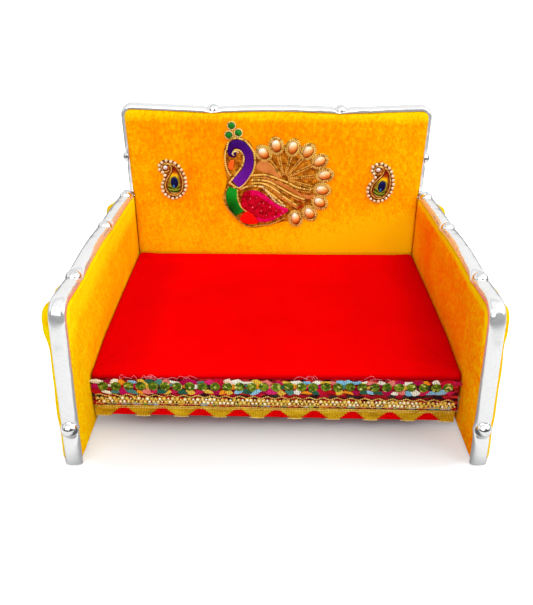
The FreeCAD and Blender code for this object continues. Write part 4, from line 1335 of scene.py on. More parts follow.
def make_sequins(luck):
    """Crinkled glitter discs along the upper part of the lace."""
    sequin = disc("sequin", 3.25 * MM, 16)
    open_mesh()
    pull(0.35 * MM, (0.45 * MM, 0.15 * MM), (0.9 * MM, -0.25 * MM), (0.8 * MM, 0.2 * MM))
    bpy.ops.mesh.poke()
    close_mesh()
    places = []
    for index in range(sequin_count):
        x = sequin_start + sequin_pitch * index
        z = falling(lace_tops, x) - 5.2 * MM + sway(luck, 0.25) * MM
        spot = Matrix.Translation((x + sway(luck, 0.3) * MM, lace_face - 0.25 * MM, z))
        turn = Matrix.Rotation(quarter_turn, 4, "X") @ Matrix.Rotation(
            luck.uniform(0, 6.28), 4, "Z")
        tilt = Matrix.Rotation(sway(luck, 0.06), 4, "X")
        places.append(spot @ tilt @ turn)
    discs = face_out(copies(sequin, places, "lace_sequins"))
    for vertex in discs.data.vertices:
        if vertex.co.y < lace_face - 0.4 * MM:
            vertex.co.y += 0.22 * MM * noise.noise(vertex.co * 900)
    dress(smooth(discs, 12), green_glitter(), "green_sequin", "front_sequins")


def make_bead_rows(luck):
    """Two uneven rows of little gilt rings and beads, and the gilt waves that join them."""
    rings, beads = [], []
    x = lace_left + 2.2 * MM
    index = 0
    while x < lace_right - 1.8 * MM:
        line = falling(lace_feet, x) + 4.2 * MM
        for high, share in ((1.4 * MM, 0.0), (-0.9 * MM, 0.5)):
            dx = x + share * 2.3 * MM
            z = line + high + sway(luck, 0.3) * MM
            size = luck.uniform(0.85, 1.15)
            turn = Matrix.Rotation(quarter_turn + sway(luck, 0.3), 4, "X")
            spot = Matrix.Translation((dx, lace_face - 0.45 * MM, z)) @ turn
            if (index + (0 if share else 1)) % 3:
                rings.append(spot @ Matrix.Scale(size, 4))
            beads.append((Matrix.Translation((dx + sway(luck, 0.2) * MM,
                                              lace_face - 0.6 * MM, z))
                          @ Matrix.Scale(size, 4), luck.random()))
        x += luck.uniform(2.4, 2.9) * MM
        index += 1
    ring = hoop("ring", 1.02 * MM, 0.3 * MM, 8, 4)
    rows = copies(ring, rings, "lace_ring_beads")
    tone(rows, "tone", lambda co, index: 0.35 + 0.35 * abs(noise.noise(co * 400)))
    finish = seed_beads()
    dress(smooth(rows, 70), finish, "gold_cord", "front_ring_beads")
    made = []
    for kind in range(2):
        bpy.ops.mesh.primitive_ico_sphere_add(subdivisions=1, radius=(0.78 + 0.2 * kind) * MM)
        bead = plain_piece("bead")
        share = [place for place, chance in beads if (chance < 0.4) == bool(kind)]
        chance = [c for _, c in beads if (c < 0.4) == bool(kind)]
        piece = copies(bead, share, "bead_row")
        per = len(piece.data.vertices) // len(share)
        # A few beads get a pale cream tone, painted highlights among the gilt.
        tone(piece, "tone", lambda co, index, c=chance, p=per: (
            0.88 if c[index // p] < 0.3 else 0.3 + 0.45 * c[index // p]))
        made.append(piece)
    grains = gather(made, "lace_seed_beads")
    dress(smooth(grains, 80), finish, "gold_cord")
    waves = []
    for high, swing, pitch in ((3.6 * MM, 0.8 * MM, 9 * MM), (0.25 * MM, 0.4 * MM, 6 * MM),
                               (-2.5 * MM, 0.3 * MM, 5 * MM)):
        line = []
        steps = int((lace_right - lace_left - 3 * MM) / (pitch / 4))
        for k in range(steps + 1):
            x = lace_left + 1.5 * MM + (lace_right - lace_left - 3 * MM) * k / steps
            z = falling(lace_feet, x) + 4.2 * MM + high + swing * math.sin(k * quarter_turn)
            line.append(Vector((x, lace_face - 0.35 * MM, z)))
        waves.append(line)
    cord = twisted_cord("lace_gilt_waves", waves, 0.42 * MM, 1.5 * MM)
    dress(cord, gold_zari("lace_gilt", (0.35, 0.13, 0.005), (0.80, 0.52, 0.10)), "gold_cord",
          "front_gold_cord")


def make_loose_threads(luck):
    """A few frayed pink threads that stand off the lace's head."""
    lines = []
    for start, count in ((-72 * MM, 14), (12 * MM, 4), (-100 * MM, 3), (70 * MM, 3)):
        for _ in range(count):
            x = start + sway(luck, 14) * MM
            z = falling(lace_tops, x) - 0.5 * MM
            reach = luck.uniform(2, 7) * MM * luck.choice((-1, 1))
            rise = luck.uniform(1.2, 4.8) * MM
            lines.append([Vector((x, lace_face + 0.3 * MM, z)),
                          Vector((x + reach * 0.4, lace_face - 0.5 * MM, z + rise)),
                          Vector((x + reach, lace_face - 0.2 * MM, z + rise * 0.7)),
                          Vector((x + reach * 1.5, lace_face + 0.1 * MM, z + rise * 0.2))])
    dress(thin_lines("lace_loose_threads", lines, 0.09 * MM), pink_thread(), "bright_lace")


def spaced(line, pitch, closed=False):
    """Points at even spacing along a smooth line through a few points, with their run."""
    points = [Vector(point) for point in line]
    dense = []
    count = len(points)
    spans = count if closed else count - 1
    for k in range(spans):
        p0 = points[(k - 1) % count] if closed or k > 0 else points[k] * 2 - points[k + 1]
        p1, p2 = points[k], points[(k + 1) % count]
        p3 = points[(k + 2) % count] if closed or k + 2 < count else p2 * 2 - p1
        for step in range(12):
            t = step / 12
            dense.append(0.5 * ((2 * p1) + (p2 - p0) * t + (2 * p0 - 5 * p1 + 4 * p2 - p3) * t * t
                                + (3 * p1 - p0 - 3 * p2 + p3) * t ** 3))
    dense.append(points[0] if closed else points[-1])
    total = sum((b - a).length for a, b in zip(dense, dense[1:]))
    count = max(2, round(total / pitch))
    made, travelled, target = [], 0.0, 0.0
    for start, end in zip(dense, dense[1:]):
        length = (end - start).length
        while length > 0 and target <= travelled + length + 1e-9 and len(made) < count:
            made.append((start.lerp(end, (target - travelled) / length), (end - start).normalized()))
            target += total / count
        travelled += length
    return made


def twisted_cord(name, lines, radius, pitch, closed=False, lay=0.62, seed=3):
    """Two-ply cord laid along lines: slanting grains, modelled once, over a core whose dark tone is
    painted shade between them.
    """
    grain = ball("grain", 1, 6, 4)
    grain.data.transform(Matrix.Diagonal((pitch * 0.62, radius * 1.02, radius * 0.85, 1)))
    luck = random.Random(seed)
    places, tones = [], []
    for line in lines:
        for point, run in spaced(line, pitch, closed):
            normal = Vector((0, -1, 0))
            side = normal.cross(run).normalized()
            turn = Matrix((run, side, run.cross(side))).transposed().to_4x4()
            angle = lay + sway(luck, 0.12)
            places.append(Matrix.Translation(point + side * sway(luck, 0.06) * radius)
                          @ turn @ Matrix.Rotation(angle, 4, "Z"))
            tones.append(luck.choice((0.34, 0.48, 0.58, 0.72, 0.84, 1.0)))
    grains = copies(grain, places, name, tones)
    core = thin_lines(name + "_core", lines, radius * 0.72, 0, closed)
    for vertex in core.data.vertices:
        vertex.co.y += radius * 0.30
    # The core's low tone is painted shade in the gaps between the grains.
    tone(core, "tone", lambda co, index: 0.10)
    return smooth(gather([grains, core], name), 75)


def make_gold_lace():
    """The stepped gilt ribbon along the seat's lower front, over a strip of red cloth."""
    head = [falling(lace_feet, x) - 0.2 * MM for x in (lace_left, lace_right)]
    peaks = [(-100.3 + 25.03 * k) * MM for k in range(9)]
    step_wide, step_high, steps = 1.50 * MM, 1.34 * MM, 5
    hang = 0.9 * MM

    def scallop(x):
        """The ribbon's lower edge between two gaps, hanging lowest midway."""
        near = min(abs(x - peak) for peak in peaks)
        return falling(gold_feet, x) + hang * (1 - above(near, 0, 12.5))

    low = [(lace_right, scallop(lace_right))]
    for peak in reversed(peaks):
        for k in range(steps + 1, -steps - 1, -1):
            x = peak + (k + (0.5 if k > 0 else -0.5)) * step_wide
            rung = min(steps - abs(k) + (1 if k > 0 else 0), steps)
            low += [(x, low[-1][1]), (x, falling(gold_feet, x) + hang + rung * step_high)]
        gap = [peak - 8.5 * MM - 2 * MM * t for t in range(1, 5)]
        low += [(x, scallop(x)) for x in gap if x > lace_left]
    low = [point for point in low if lace_left <= point[0] <= lace_right]
    low.append((lace_left, scallop(lace_left)))
    outline = [(lace_left - 1.0 * MM, head[0]), (lace_right - 0.3 * MM, head[1])] + low
    ribbon = drawn_flat("gold_ribbon", outline, 0.5 * MM, facing(seat_front - 0.35 * MM),
                        0.12 * MM)
    dress(ribbon, woven_gold(), "gold_lace", "gold_lace")
    back = [(lace_left + MM, head[0] - 0.3 * MM), (lace_right - MM, head[1] - 0.3 * MM),
            (lace_right - MM, gold_feet[1] + hang), (lace_left + MM, gold_feet[0] + hang)]
    backing = drawn_flat("red_backing", back, 0.3 * MM, facing(seat_front - 0.02 * MM), 0.08 * MM)
    dress(backing, red_backing_cloth(), "gold_lace")
    ribs = [[Vector((x, seat_front - 0.9 * MM, falling(lace_feet, x) - 0.2 * MM - down * MM))
             for x in (lace_left + 0.6 * MM, (lace_left + lace_right) / 2,
                       lace_right - 0.6 * MM)] for down in (0.3, 1.7)]
    rib = twisted_cord("gold_ribbon_stitches", ribs, 0.24 * MM, 1.9 * MM, False, 0.15, 9)
    dress(rib, gold_zari("stitch_gold", (0.40, 0.18, 0.004), (0.80, 0.58, 0.14)), "gold_lace")
    edge = []
    for start, end in zip([lace_left] + peaks, peaks + [lace_right]):
        a = start + 7.6 * MM if start > lace_left else start + 0.5 * MM
        b = end - 7.6 * MM if end < lace_right else end - 0.5 * MM
        if b - a > 3 * MM:
            edge.append([Vector((x, seat_front - 0.8 * MM, scallop(x) + 0.2 * MM))
                         for x in (a + (b - a) * k / 4 for k in range(5))])
    picot = twisted_cord("gold_picot", edge, 0.32 * MM, 1.1 * MM)
    dress(picot, gold_zari("pale_picot", (0.50, 0.27, 0.02), (0.92, 0.74, 0.30)), "gold_lace")


# Peacock


peacock_width, peacock_height = 91 * MM, 90 * MM
peacock_x, peacock_z = 0.4 * MM, front_height + 0.58 * back_rise


def shares(*thousandths):
    """Places written as thousandths of a piece's width and height."""
    return tuple((x / 1000, z / 1000) for x, z in zip(thousandths[::2], thousandths[1::2]))


def bird(share):
    """A place on the peacock, as width and height on the back."""
    return Vector((peacock_x + share[0] * peacock_width, peacock_z + share[1] * peacock_height))


def raised_patch(name, outline, rise, voxel=0.5, rounds=6):
    """A padded patch of satin stitch: cut out, thickened and softened at its edges."""
    piece = drawn_flat(name, [bird(share) for share in outline], rise, facing(net_face), 0.0,
                       True, 8)
    softened(piece, voxel * MM, 0.6, rounds)
    low = min(vertex.co.y for vertex in piece.data.vertices)
    for vertex in piece.data.vertices:
        share = max(0.0, (net_face - vertex.co.y) / (net_face - low))
        vertex.co.y = net_face - rise * share
    return smooth(piece, 70)


def satin_stroke(name, spine, halves, rise):
    """A round stroke of satin stitch along a spine, pressed flat behind."""
    drawing = round_wire(name, 1.0, 5, 8)
    route = [Vector((bird(s).x, 0, bird(s).y)) for s in spine]
    line = bent_line(drawing, route)
    for knot, half in zip(line.bezier_points, halves):
        knot.radius = half * peacock_width
    piece = made_solid(name, drawing)
    tone_by_route(piece, route)
    for vertex in cut_behind(piece).data.vertices:
        deep = max(0.0, -vertex.co.y)
        vertex.co.y = net_face + 0.05 * MM - rise * (1 - math.exp(-deep / (1.1 * MM)))
    return smooth(face_out(piece), 60)


def tone_by_route(piece, route):
    """Writes how far along a route each point lies, and a share of it."""
    total = sum((end - start).length for start, end in zip(route, route[1:]))
    runs = [off_line(Vector((vertex.co.x, 0, vertex.co.z)), route)[1]
            for vertex in piece.data.vertices]
    tone(piece, "run", lambda co, index: runs[index])
    tone(piece, "tone", lambda co, index: runs[index] / total)


def slant(piece, way, tone_of):
    """Thread run across a patch along a slanting way, and its tone."""
    tone(piece, "run", lambda co, index: co.x * way[0] + co.z * way[1])
    tone(piece, "tone", lambda co, index: tone_of(co))


neck_spine = shares(
    -368, 200, -405, 195, -424, 236, -389, 289, -323, 285, -273, 226, -255, 151, -268, 66,
    -318, -19, -378, -72)
neck_halves = (0.018, 0.021, 0.026, 0.036, 0.041, 0.043, 0.042, 0.045, 0.052, 0.054)
breast_spine = shares(-404, -114, -413, -195, -408, -255, -382, -314, -347, -362)
breast_halves = (0.045, 0.057, 0.056, 0.052, 0.045)
belly_line = shares(
    -345, -412, -312, -362, -270, -338, -222, -368, -186, -408, -166, -445, -227, -469, -291, -464,
    -338, -440)
wing_line = shares(
    -325, -302, -332, -226, -309, -160, -264, -137, -191, -137, -127, -165, -64, -222, 0, -269,
    64, -302, 105, -321, 73, -358, 18, -396, -55, -434, -136, -448, -180, -432, -204, -398,
    -242, -355, -291, -332)
beak_line = shares(-429, 139, -391, 145, -391, 107, -417, 55)
net_left = shares(
    91, -440, -82, -485, -264, -503, -391, -415, -492, -255, -484, -151, -460, -57, -475, 85,
    -468, 264, -400, 345, -309, 351, -227, 285)
fan_root = (0.064, -0.028)
pearl_spots = shares(
    -122, 210, -9, 278, 139, 263, 274, 229, 382, 140, 433, 11, 415, -131, 396, -252, 306, -361,
    175, -413)
feather_lines = (
    shares(-225, 5, -130, 12, -55, -3, 21, -31, 97, -62, 173, -102, 248, -121, 325, -128),
    shares(-225, -40, -161, -38, -70, -55, 21, -106, 112, -160, 188, -200, 264, -226),
    shares(-225, -75, -161, -66, -85, -90, -9, -137, 66, -200, 143, -255, 203, -291),
    shares(-330, -125, -274, -102, -198, -97, -130, -113, -70, -160, -9, -212, 60, -270))
body_line = shares(
    -485, -170, -488, -224, -462, -309, -405, -385, -348, -440, -290, -487, -236, -496, -161, -486,
    -70, -475, 6, -444, 85, -400)
beak_cord = shares(-462, 230, -470, 150, -450, 50, -415, -10)
neck_outer = shares(
    -450, 250, -436, 311, -391, 345, -336, 345, -282, 321, -241, 274, -209, 217, -200, 142,
    -209, 75, -232, 19, -273, -38, -309, -85, -364, -123)
neck_inner = shares(
    -391, 226, -368, 245, -336, 236, -309, 207, -300, 160, -314, 104, -336, 66, -364, 28,
    -400, -19, -436, -66)
breast_left = shares(-436, -94, -464, -132, -477, -198, -464, -255, -432, -321, -391, -377)
breast_right = shares(
    -391, -113, -364, -142, -366, -198, -355, -245, -336, -292, -300, -330, -268, -350)
border_line = shares(
    -222, -155, -150, -168, -95, -205, -39, -250, 14, -285, 70, -312, 100, -322, 52, -380,
    -10, -412, -71, -436, -130, -440, -172, -425)
collar_line = shares(-432, -64, -400, -88, -362, -108, -322, -112)
curl_cord = shares(-352, 222, -372, 232, -396, 222, -400, 200, -380, 190)
silver_line = shares(-145, -94, -109, -132, -73, -170, -45, -208, -5, -250, 32, -274, 100, -292)
leaf_fills = (
    shares(-191, 75, -164, 132, -100, 142, -45, 104, 0, 38, 36, -9, -64, 19, -136, 38),
    shares(18, -66, 82, -85, 155, -123, 218, -170, 236, -198, 173, -170, 100, -132, 45, -94),
    shares(-64, -94, 9, -142, 82, -208, 173, -274, 209, -302, 136, -274, 45, -226, -27, -151),
    shares(236, -189, 300, -179, 355, -189, 309, -217, 264, -217),
    shares(-130, -10, -60, -22, 0, -50, 60, -85, 0, -75, -75, -42))


def net_outline():
    """The cut edge of the net: close round the body and round every drop of the fan."""
    root = bird(fan_root)
    line = [tuple(bird(share)) for share in net_left]
    places = [bird(share) for share in pearl_spots]
    for number, place in enumerate(places):
        way = (place - root).normalized()
        side = Vector((way.y, -way.x))
        if number == 0:
            line.append(tuple(place - side * 5.4 * MM + way * 3.2 * MM))
        line += [tuple(place - side * 2.6 * MM + way * 7.2 * MM),
                 tuple(place + side * 2.6 * MM + way * 7.2 * MM)]
        if number + 1 < len(places):
            after = places[number + 1]
            between = (place + after) / 2
            line.append(tuple(between + (between - root).normalized() * 1.4 * MM))
    line.append(tuple(places[-1] + side * 5.6 * MM + way * 1.2 * MM))
    return line


def make_peacock():
    """The embroidered bird: net, satin strokes and patches, cords, pearls and crest."""
    net = drawn_flat("peacock_ground", net_outline(), 0.6 * MM, facing(back_front), 0.2 * MM, True)
    dress(smooth(net, 50), net_cloth(), "peach_net", "peacock_net")
    neck = satin_stroke("peacock_neck_stitch", neck_spine, neck_halves, 1.75 * MM)
    dress(neck, satin_thread("purple_satin", (0.010, 0.0, 0.07), (0.065, 0.002, 0.23),
                             (0.16, 0.010, 0.42)), "purple_satin", "peacock_neck")
    breast = satin_stroke("peacock_breast_stitch", breast_spine, breast_halves, 1.6 * MM)
    layer = breast.data.attributes["tone"]
    low_left = bird((-0.465, -0.34))
    for index, vertex in enumerate(breast.data.vertices):
        gap = (Vector((vertex.co.x, vertex.co.z)) - low_left).length
        layer.data[index].value = min(1.0, gap / (17 * MM)) ** 1.3
    dress(breast, satin_thread("green_satin", (0.0, 0.012, 0.002), (0.001, 0.18, 0.005),
                               (0.004, 0.40, 0.02)), "green_satin", "peacock_breast")
    belly = raised_patch("peacock_belly_stitch", belly_line, 1.6 * MM)
    slant(belly, (0.6, 0.8), lambda co: 0.7)
    dress(belly, satin_thread("orange_satin", (0.74, 0.0, 0.0), (0.90, 0.001, 0.001),
                              (0.95, 0.010, 0.003)), "orange_satin", "peacock_belly")
    wing = raised_patch("peacock_wing_stitch", wing_line, 1.7 * MM)
    border = [bird(share) for share in border_line]

    def near_border(co):
        """1 beside the wing's lower edge, falling to 0 inside it."""
        gap = off_line(Vector((co.x, co.z)), border)[0]
        return 1 - above(gap, 1.6, 1.6)

    slant(wing, (0.6, -0.8), near_border)
    dress(wing, crimson_wing(), "crimson_satin", "peacock_wing")
    beak = raised_patch("peacock_beak_stitch", beak_line, 1.5 * MM, 0.4, 3)
    slant(beak, (0.3, 1.0), lambda co: 0.8)
    dress(beak, satin_thread("beak_satin", (0.80, 0.02, 0.001), (0.95, 0.07, 0.004),
                             (0.98, 0.22, 0.02)), "orange_satin", "peacock_beak")
    fill = gather([raised_patch("feather_fill", outline, 0.6 * MM, 0.4, 2)
                   for outline in leaf_fills], "peacock_feather_fills")
    slant(fill, (0.7, 0.7), lambda co: 0.5 + 0.5 * noise.noise(co * 150))
    dress(fill, satin_thread("peach_satin", (0.46, 0.12, 0.015), (0.64, 0.24, 0.05),
                             (0.80, 0.38, 0.10)), "peach_net")
    make_cords()
    make_pearls()
    make_crest()
    make_wing_sequins()


def on_net(line, lift=0.45):
    """A line on the net, as points in space; the lift is in millimetres."""
    return [Vector((bird(s).x, net_face - lift * MM, bird(s).y)) for s in line]


def make_cords():
    """Gilt cords of the feathers and the outlines, and the stems of the fan."""
    pale = twisted_cord("peacock_pale_cords",
                        [on_net(line, 0.6) for line in feather_lines]
                        + [on_net(neck_outer, 0.7), on_net(neck_inner, 1.0),
                           on_net(collar_line, 1.1), on_net(breast_right, 0.7),
                           on_net(beak_cord)], 0.98 * MM, 1.75 * MM)
    dress(pale, gold_zari("pale_zari", (0.26, 0.08, 0.004), (0.94, 0.66, 0.12)), "gold_cord",
          "peacock_cords")
    dark = twisted_cord("peacock_dark_cords",
                        [on_net([(x, z - 0.026) for x, z in line], 0.3)
                         for line in feather_lines[:3]]
                        + [on_net(body_line, 0.5), on_net(breast_left, 0.5)],
                        0.66 * MM, 1.5 * MM, False, 0.62, 8)
    dress(dark, gold_zari("dark_zari", (0.14, 0.03, 0.002), (0.76, 0.42, 0.04)), "gold_cord")
    silver = twisted_cord("peacock_silver_cord", [zigzag(on_net(silver_line, 0.8), 0.5 * MM),
                                                  on_net(curl_cord, 1.5)],
                          0.72 * MM, 1.4 * MM, False, 0.9, 5)
    dress(silver, gold_zari("silver_zari", (0.36, 0.20, 0.06), (0.95, 0.80, 0.42)), "gold_cord")
    stems = []
    root = bird(fan_root)
    for share in pearl_spots[:7]:
        place = bird(share)
        run = (place - root).normalized()
        far = (place - root).length - 6.8 * MM
        side = Vector((-run.y, run.x))
        for shift, start in ((0.85, 4.0), (-0.85, 5.5)):
            ends = [root + run * reach + side * shift * MM * (reach / far + 0.3)
                    for reach in (start * MM, (start * MM + far) / 2, far)]
            stems.append([Vector((e.x, net_face - 0.35 * MM, e.y)) for e in ends])
    stem = twisted_cord("peacock_fan_stems", stems, 0.62 * MM, 1.5 * MM, False, 0.5, 21)
    dress(stem, gold_zari("brown_zari", (0.14, 0.03, 0.002), (0.80, 0.46, 0.05)), "gold_cord")
    bits = []
    luck = random.Random(5)
    for centre in ((0.21, -0.245), (0.236, -0.283), (0.20, -0.30), (0.264, -0.33)):
        spot = bird(centre)
        for _ in range(3):
            turn = luck.uniform(0, math.pi)
            reach = Vector((math.cos(turn), math.sin(turn))) * 1.1 * MM
            offset = Vector((sway(luck, 1), sway(luck, 1))) * 0.9 * MM
            bits.append([Vector((spot.x + offset.x + way * reach.x, net_face - lift * MM,
                                 spot.y + offset.y + way * reach.y))
                         for way, lift in ((-1, 0.5), (0, 1.0), (1, 0.5))])
    red = thin_lines("peacock_red_stitches", bits, 0.32 * MM)
    slant(red, (1, 0), lambda co: 0.5)
    dress(red, satin_thread("red_stitch", (0.24, 0.0, 0.0), (0.50, 0.004, 0.002),
                            (0.7, 0.01, 0.004)), "gold_cord")


def zigzag(line, swing):
    """A line that swings from side to side of another."""
    spots = spaced(line, 1.5 * MM)
    made = []
    for number, (point, run) in enumerate(spots):
        side = Vector((0, -1, 0)).cross(run)
        made.append(point + side * (swing if number % 2 else -swing))
    return made


def make_pearls():
    """Peach drops in the fan, each in two rings of twisted gilt."""
    root = bird(fan_root)
    drops, rings, outer = [], [], []
    luck = random.Random(12)
    for share in pearl_spots:
        place = bird(share)
        way = (place - root).normalized()
        turn = math.atan2(way.x, way.y) + sway(luck, 0.08)
        drop = ball("drop", 1, 24, 16)
        drop.data.transform(Matrix.Diagonal((3.75 * MM, 3.3 * MM, 5.2 * MM, 1)))
        for vertex in drop.data.vertices:
            vertex.co.x *= 1 + 0.10 * vertex.co.z / (5.2 * MM)
        cut_behind(drop)
        drop.data.transform(Matrix.Translation((place.x, net_face, place.y))
                            @ Matrix.Rotation(turn, 4, "Y"))
        # Painted highlight and shade: the tone rises toward the drop's upper left and front, and
        # falls toward its lower end.
        tone(drop, "tone", lambda co, index, p=place: 0.40 + (
            (co.z - p.y) * 0.80 - (co.x - p.x) * 0.42 - (co.y - net_face) * 0.30) / (9 * MM))
        drops.append(drop)
        ring, far = [], []
        for k in range(14):
            angle = full_turn * k / 14
            for line, gap in ((ring, 0.85), (far, 2.1)):
                local = Vector(((3.75 + gap) * MM * math.cos(angle), 0,
                                (5.2 + gap * 0.9) * MM * math.sin(angle)))
                line.append(Matrix.Rotation(turn, 3, "Y") @ local
                            + Vector((place.x, net_face - (0.8 if line is ring else 0.3) * MM,
                                      place.y)))
        rings.append(ring)
        outer.append(far)
    pearls = smooth(gather(drops, "peacock_drops"), 50)
    dress(pearls, pearl_skin(), "peach_pearl", "peacock_pearls")
    ring = twisted_cord("peacock_drop_rings", rings, 0.72 * MM, 1.5 * MM, True)
    dress(ring, gold_zari("ring_zari", (0.26, 0.06, 0.004), (0.94, 0.62, 0.11)), "gold_cord",
          "peacock_pearl_rims")
    far = twisted_cord("peacock_drop_outer_rings", outer, 0.60 * MM, 1.6 * MM, True, 0.62, 14)
    dress(far, gold_zari("outer_zari", (0.30, 0.09, 0.005), (0.95, 0.68, 0.13)), "gold_cord")


def make_crest():
    """Three green domes in pale rims over the head, on short gilt stalks."""
    gems, rims, stalks = [], [], []
    for share in ((-0.405, 0.458), (-0.430, 0.375), (-0.346, 0.395)):
        place = bird(share)
        spot = Vector((place.x, back_front, place.y))
        gem = cut_behind(ball("gem", 2.75 * MM, 20, 12))
        gem.data.transform(Matrix.Translation(spot) @ Matrix.Diagonal((1, 0.8, 1, 1)))
        gems.append(gem)
        rims.append([spot + Vector((3.15 * MM * math.cos(a), -0.5 * MM, 3.15 * MM * math.sin(a)))
                     for a in (full_turn * k / 10 for k in range(10))])
        foot = bird((-0.385, 0.345))
        stalks.append([Vector((foot.x, back_front - 0.5 * MM, foot.y)),
                       Vector(((foot.x + place.x) / 2, back_front - 0.6 * MM,
                               (foot.y + place.y) / 2)),
                       Vector((place.x, back_front - 0.4 * MM, place.y - 2.8 * MM))])
    stone = smooth(gather(gems, "crest_domes"), 50)
    dress(stone, glassy("green_gem", (0.0, 0.09, 0.003), (0.002, 0.30, 0.012)),
          "green_gem", "peacock_crest_gems")
    rim = twisted_cord("crest_rims", rims, 0.52 * MM, 1.1 * MM, True)
    dress(rim, gold_zari("crest_zari", (0.40, 0.22, 0.03), (0.92, 0.76, 0.34)), "gold_cord",
          "peacock_crest_rims")
    stalk = twisted_cord("crest_stalks", stalks, 0.45 * MM, 1.1 * MM)
    dress(stalk, bpy.data.materials["brown_zari"], "gold_cord")


def make_wing_sequins():
    """A few pale glints stitched on the wing."""
    luck = random.Random(19)
    places = []
    glint = disc("glint", 0.48 * MM, 8)
    open_mesh()
    pull(0.25 * MM, (0.2 * MM, 0.08 * MM))
    close_mesh()
    for share in ((-0.25, -0.22), (-0.19, -0.20), (-0.12, -0.25), (-0.06, -0.29), (0.0, -0.33),
                  (0.055, -0.33), (-0.22, -0.30), (-0.15, -0.34), (-0.09, -0.38), (-0.02, -0.39),
                  (-0.17, -0.27), (0.03, -0.37)):
        spot = bird((share[0] + sway(luck, 0.01), share[1] + sway(luck, 0.01)))
        places.append(Matrix.Translation((spot.x, net_face - 1.5 * MM, spot.y))
                      @ Matrix.Rotation(quarter_turn + sway(luck, 0.4), 4, "X"))
    glints = face_out(copies(glint, places, "wing_glints"))
    dress(smooth(glints, 30), glassy("pink_glint", (0.70, 0.10, 0.14), (0.90, 0.34, 0.34)),
          "crimson_satin")


# Brooches


paisley_height = 36 * MM
paisley_spots = {-1: (-85.8 * MM, 111.535 * MM), 1: (87.0 * MM, 109.535 * MM)}
base_line = shares(
    -128, 488, -20, 475, 80, 428, 172, 345, 250, 220, 300, 80, 318, -60, 300, -230, 220, -385,
    100, -475, 20, -492, -90, -475, -200, -400, -280, -290, -295, -160, -262, -40, -215, 60,
    -225, 130, -300, 200, -325, 290, -300, 400, -225, 470)
bead_line = shares(
    -128, 450, -25, 430, 70, 390, 150, 322, 208, 232, 250, 138, 280, 45, 290, -50, 288, -145,
    265, -238, 218, -322, 148, -390, 62, -435, -32, -445, -122, -410, -198, -350, -248, -268,
    -262, -172, -242, -78, -205, 12, -178, 105, -228, 180, -292, 242, -298, 335, -232, 405)
enamel_line = shares(
    50, 322, 130, 180, 178, 30, 180, -130, 120, -275, 30, -335, -70, -300, -145, -190, -140, -70,
    -70, 60, 0, 180)
bezel_line = shares(
    -150, 375, -60, 375, 30, 345, 110, 270, 165, 170, 205, 60, 222, -60, 210, -180, 160, -290,
    75, -355, -25, -365, -110, -320, -170, -235, -185, -130, -160, -30, -105, 70, -50, 160,
    -22, 250, -30, 320, -75, 362)
curl_line = shares(-75, 230, -120, 190, -180, 195, -235, 245, -245, 315, -205, 370, -150, 385)


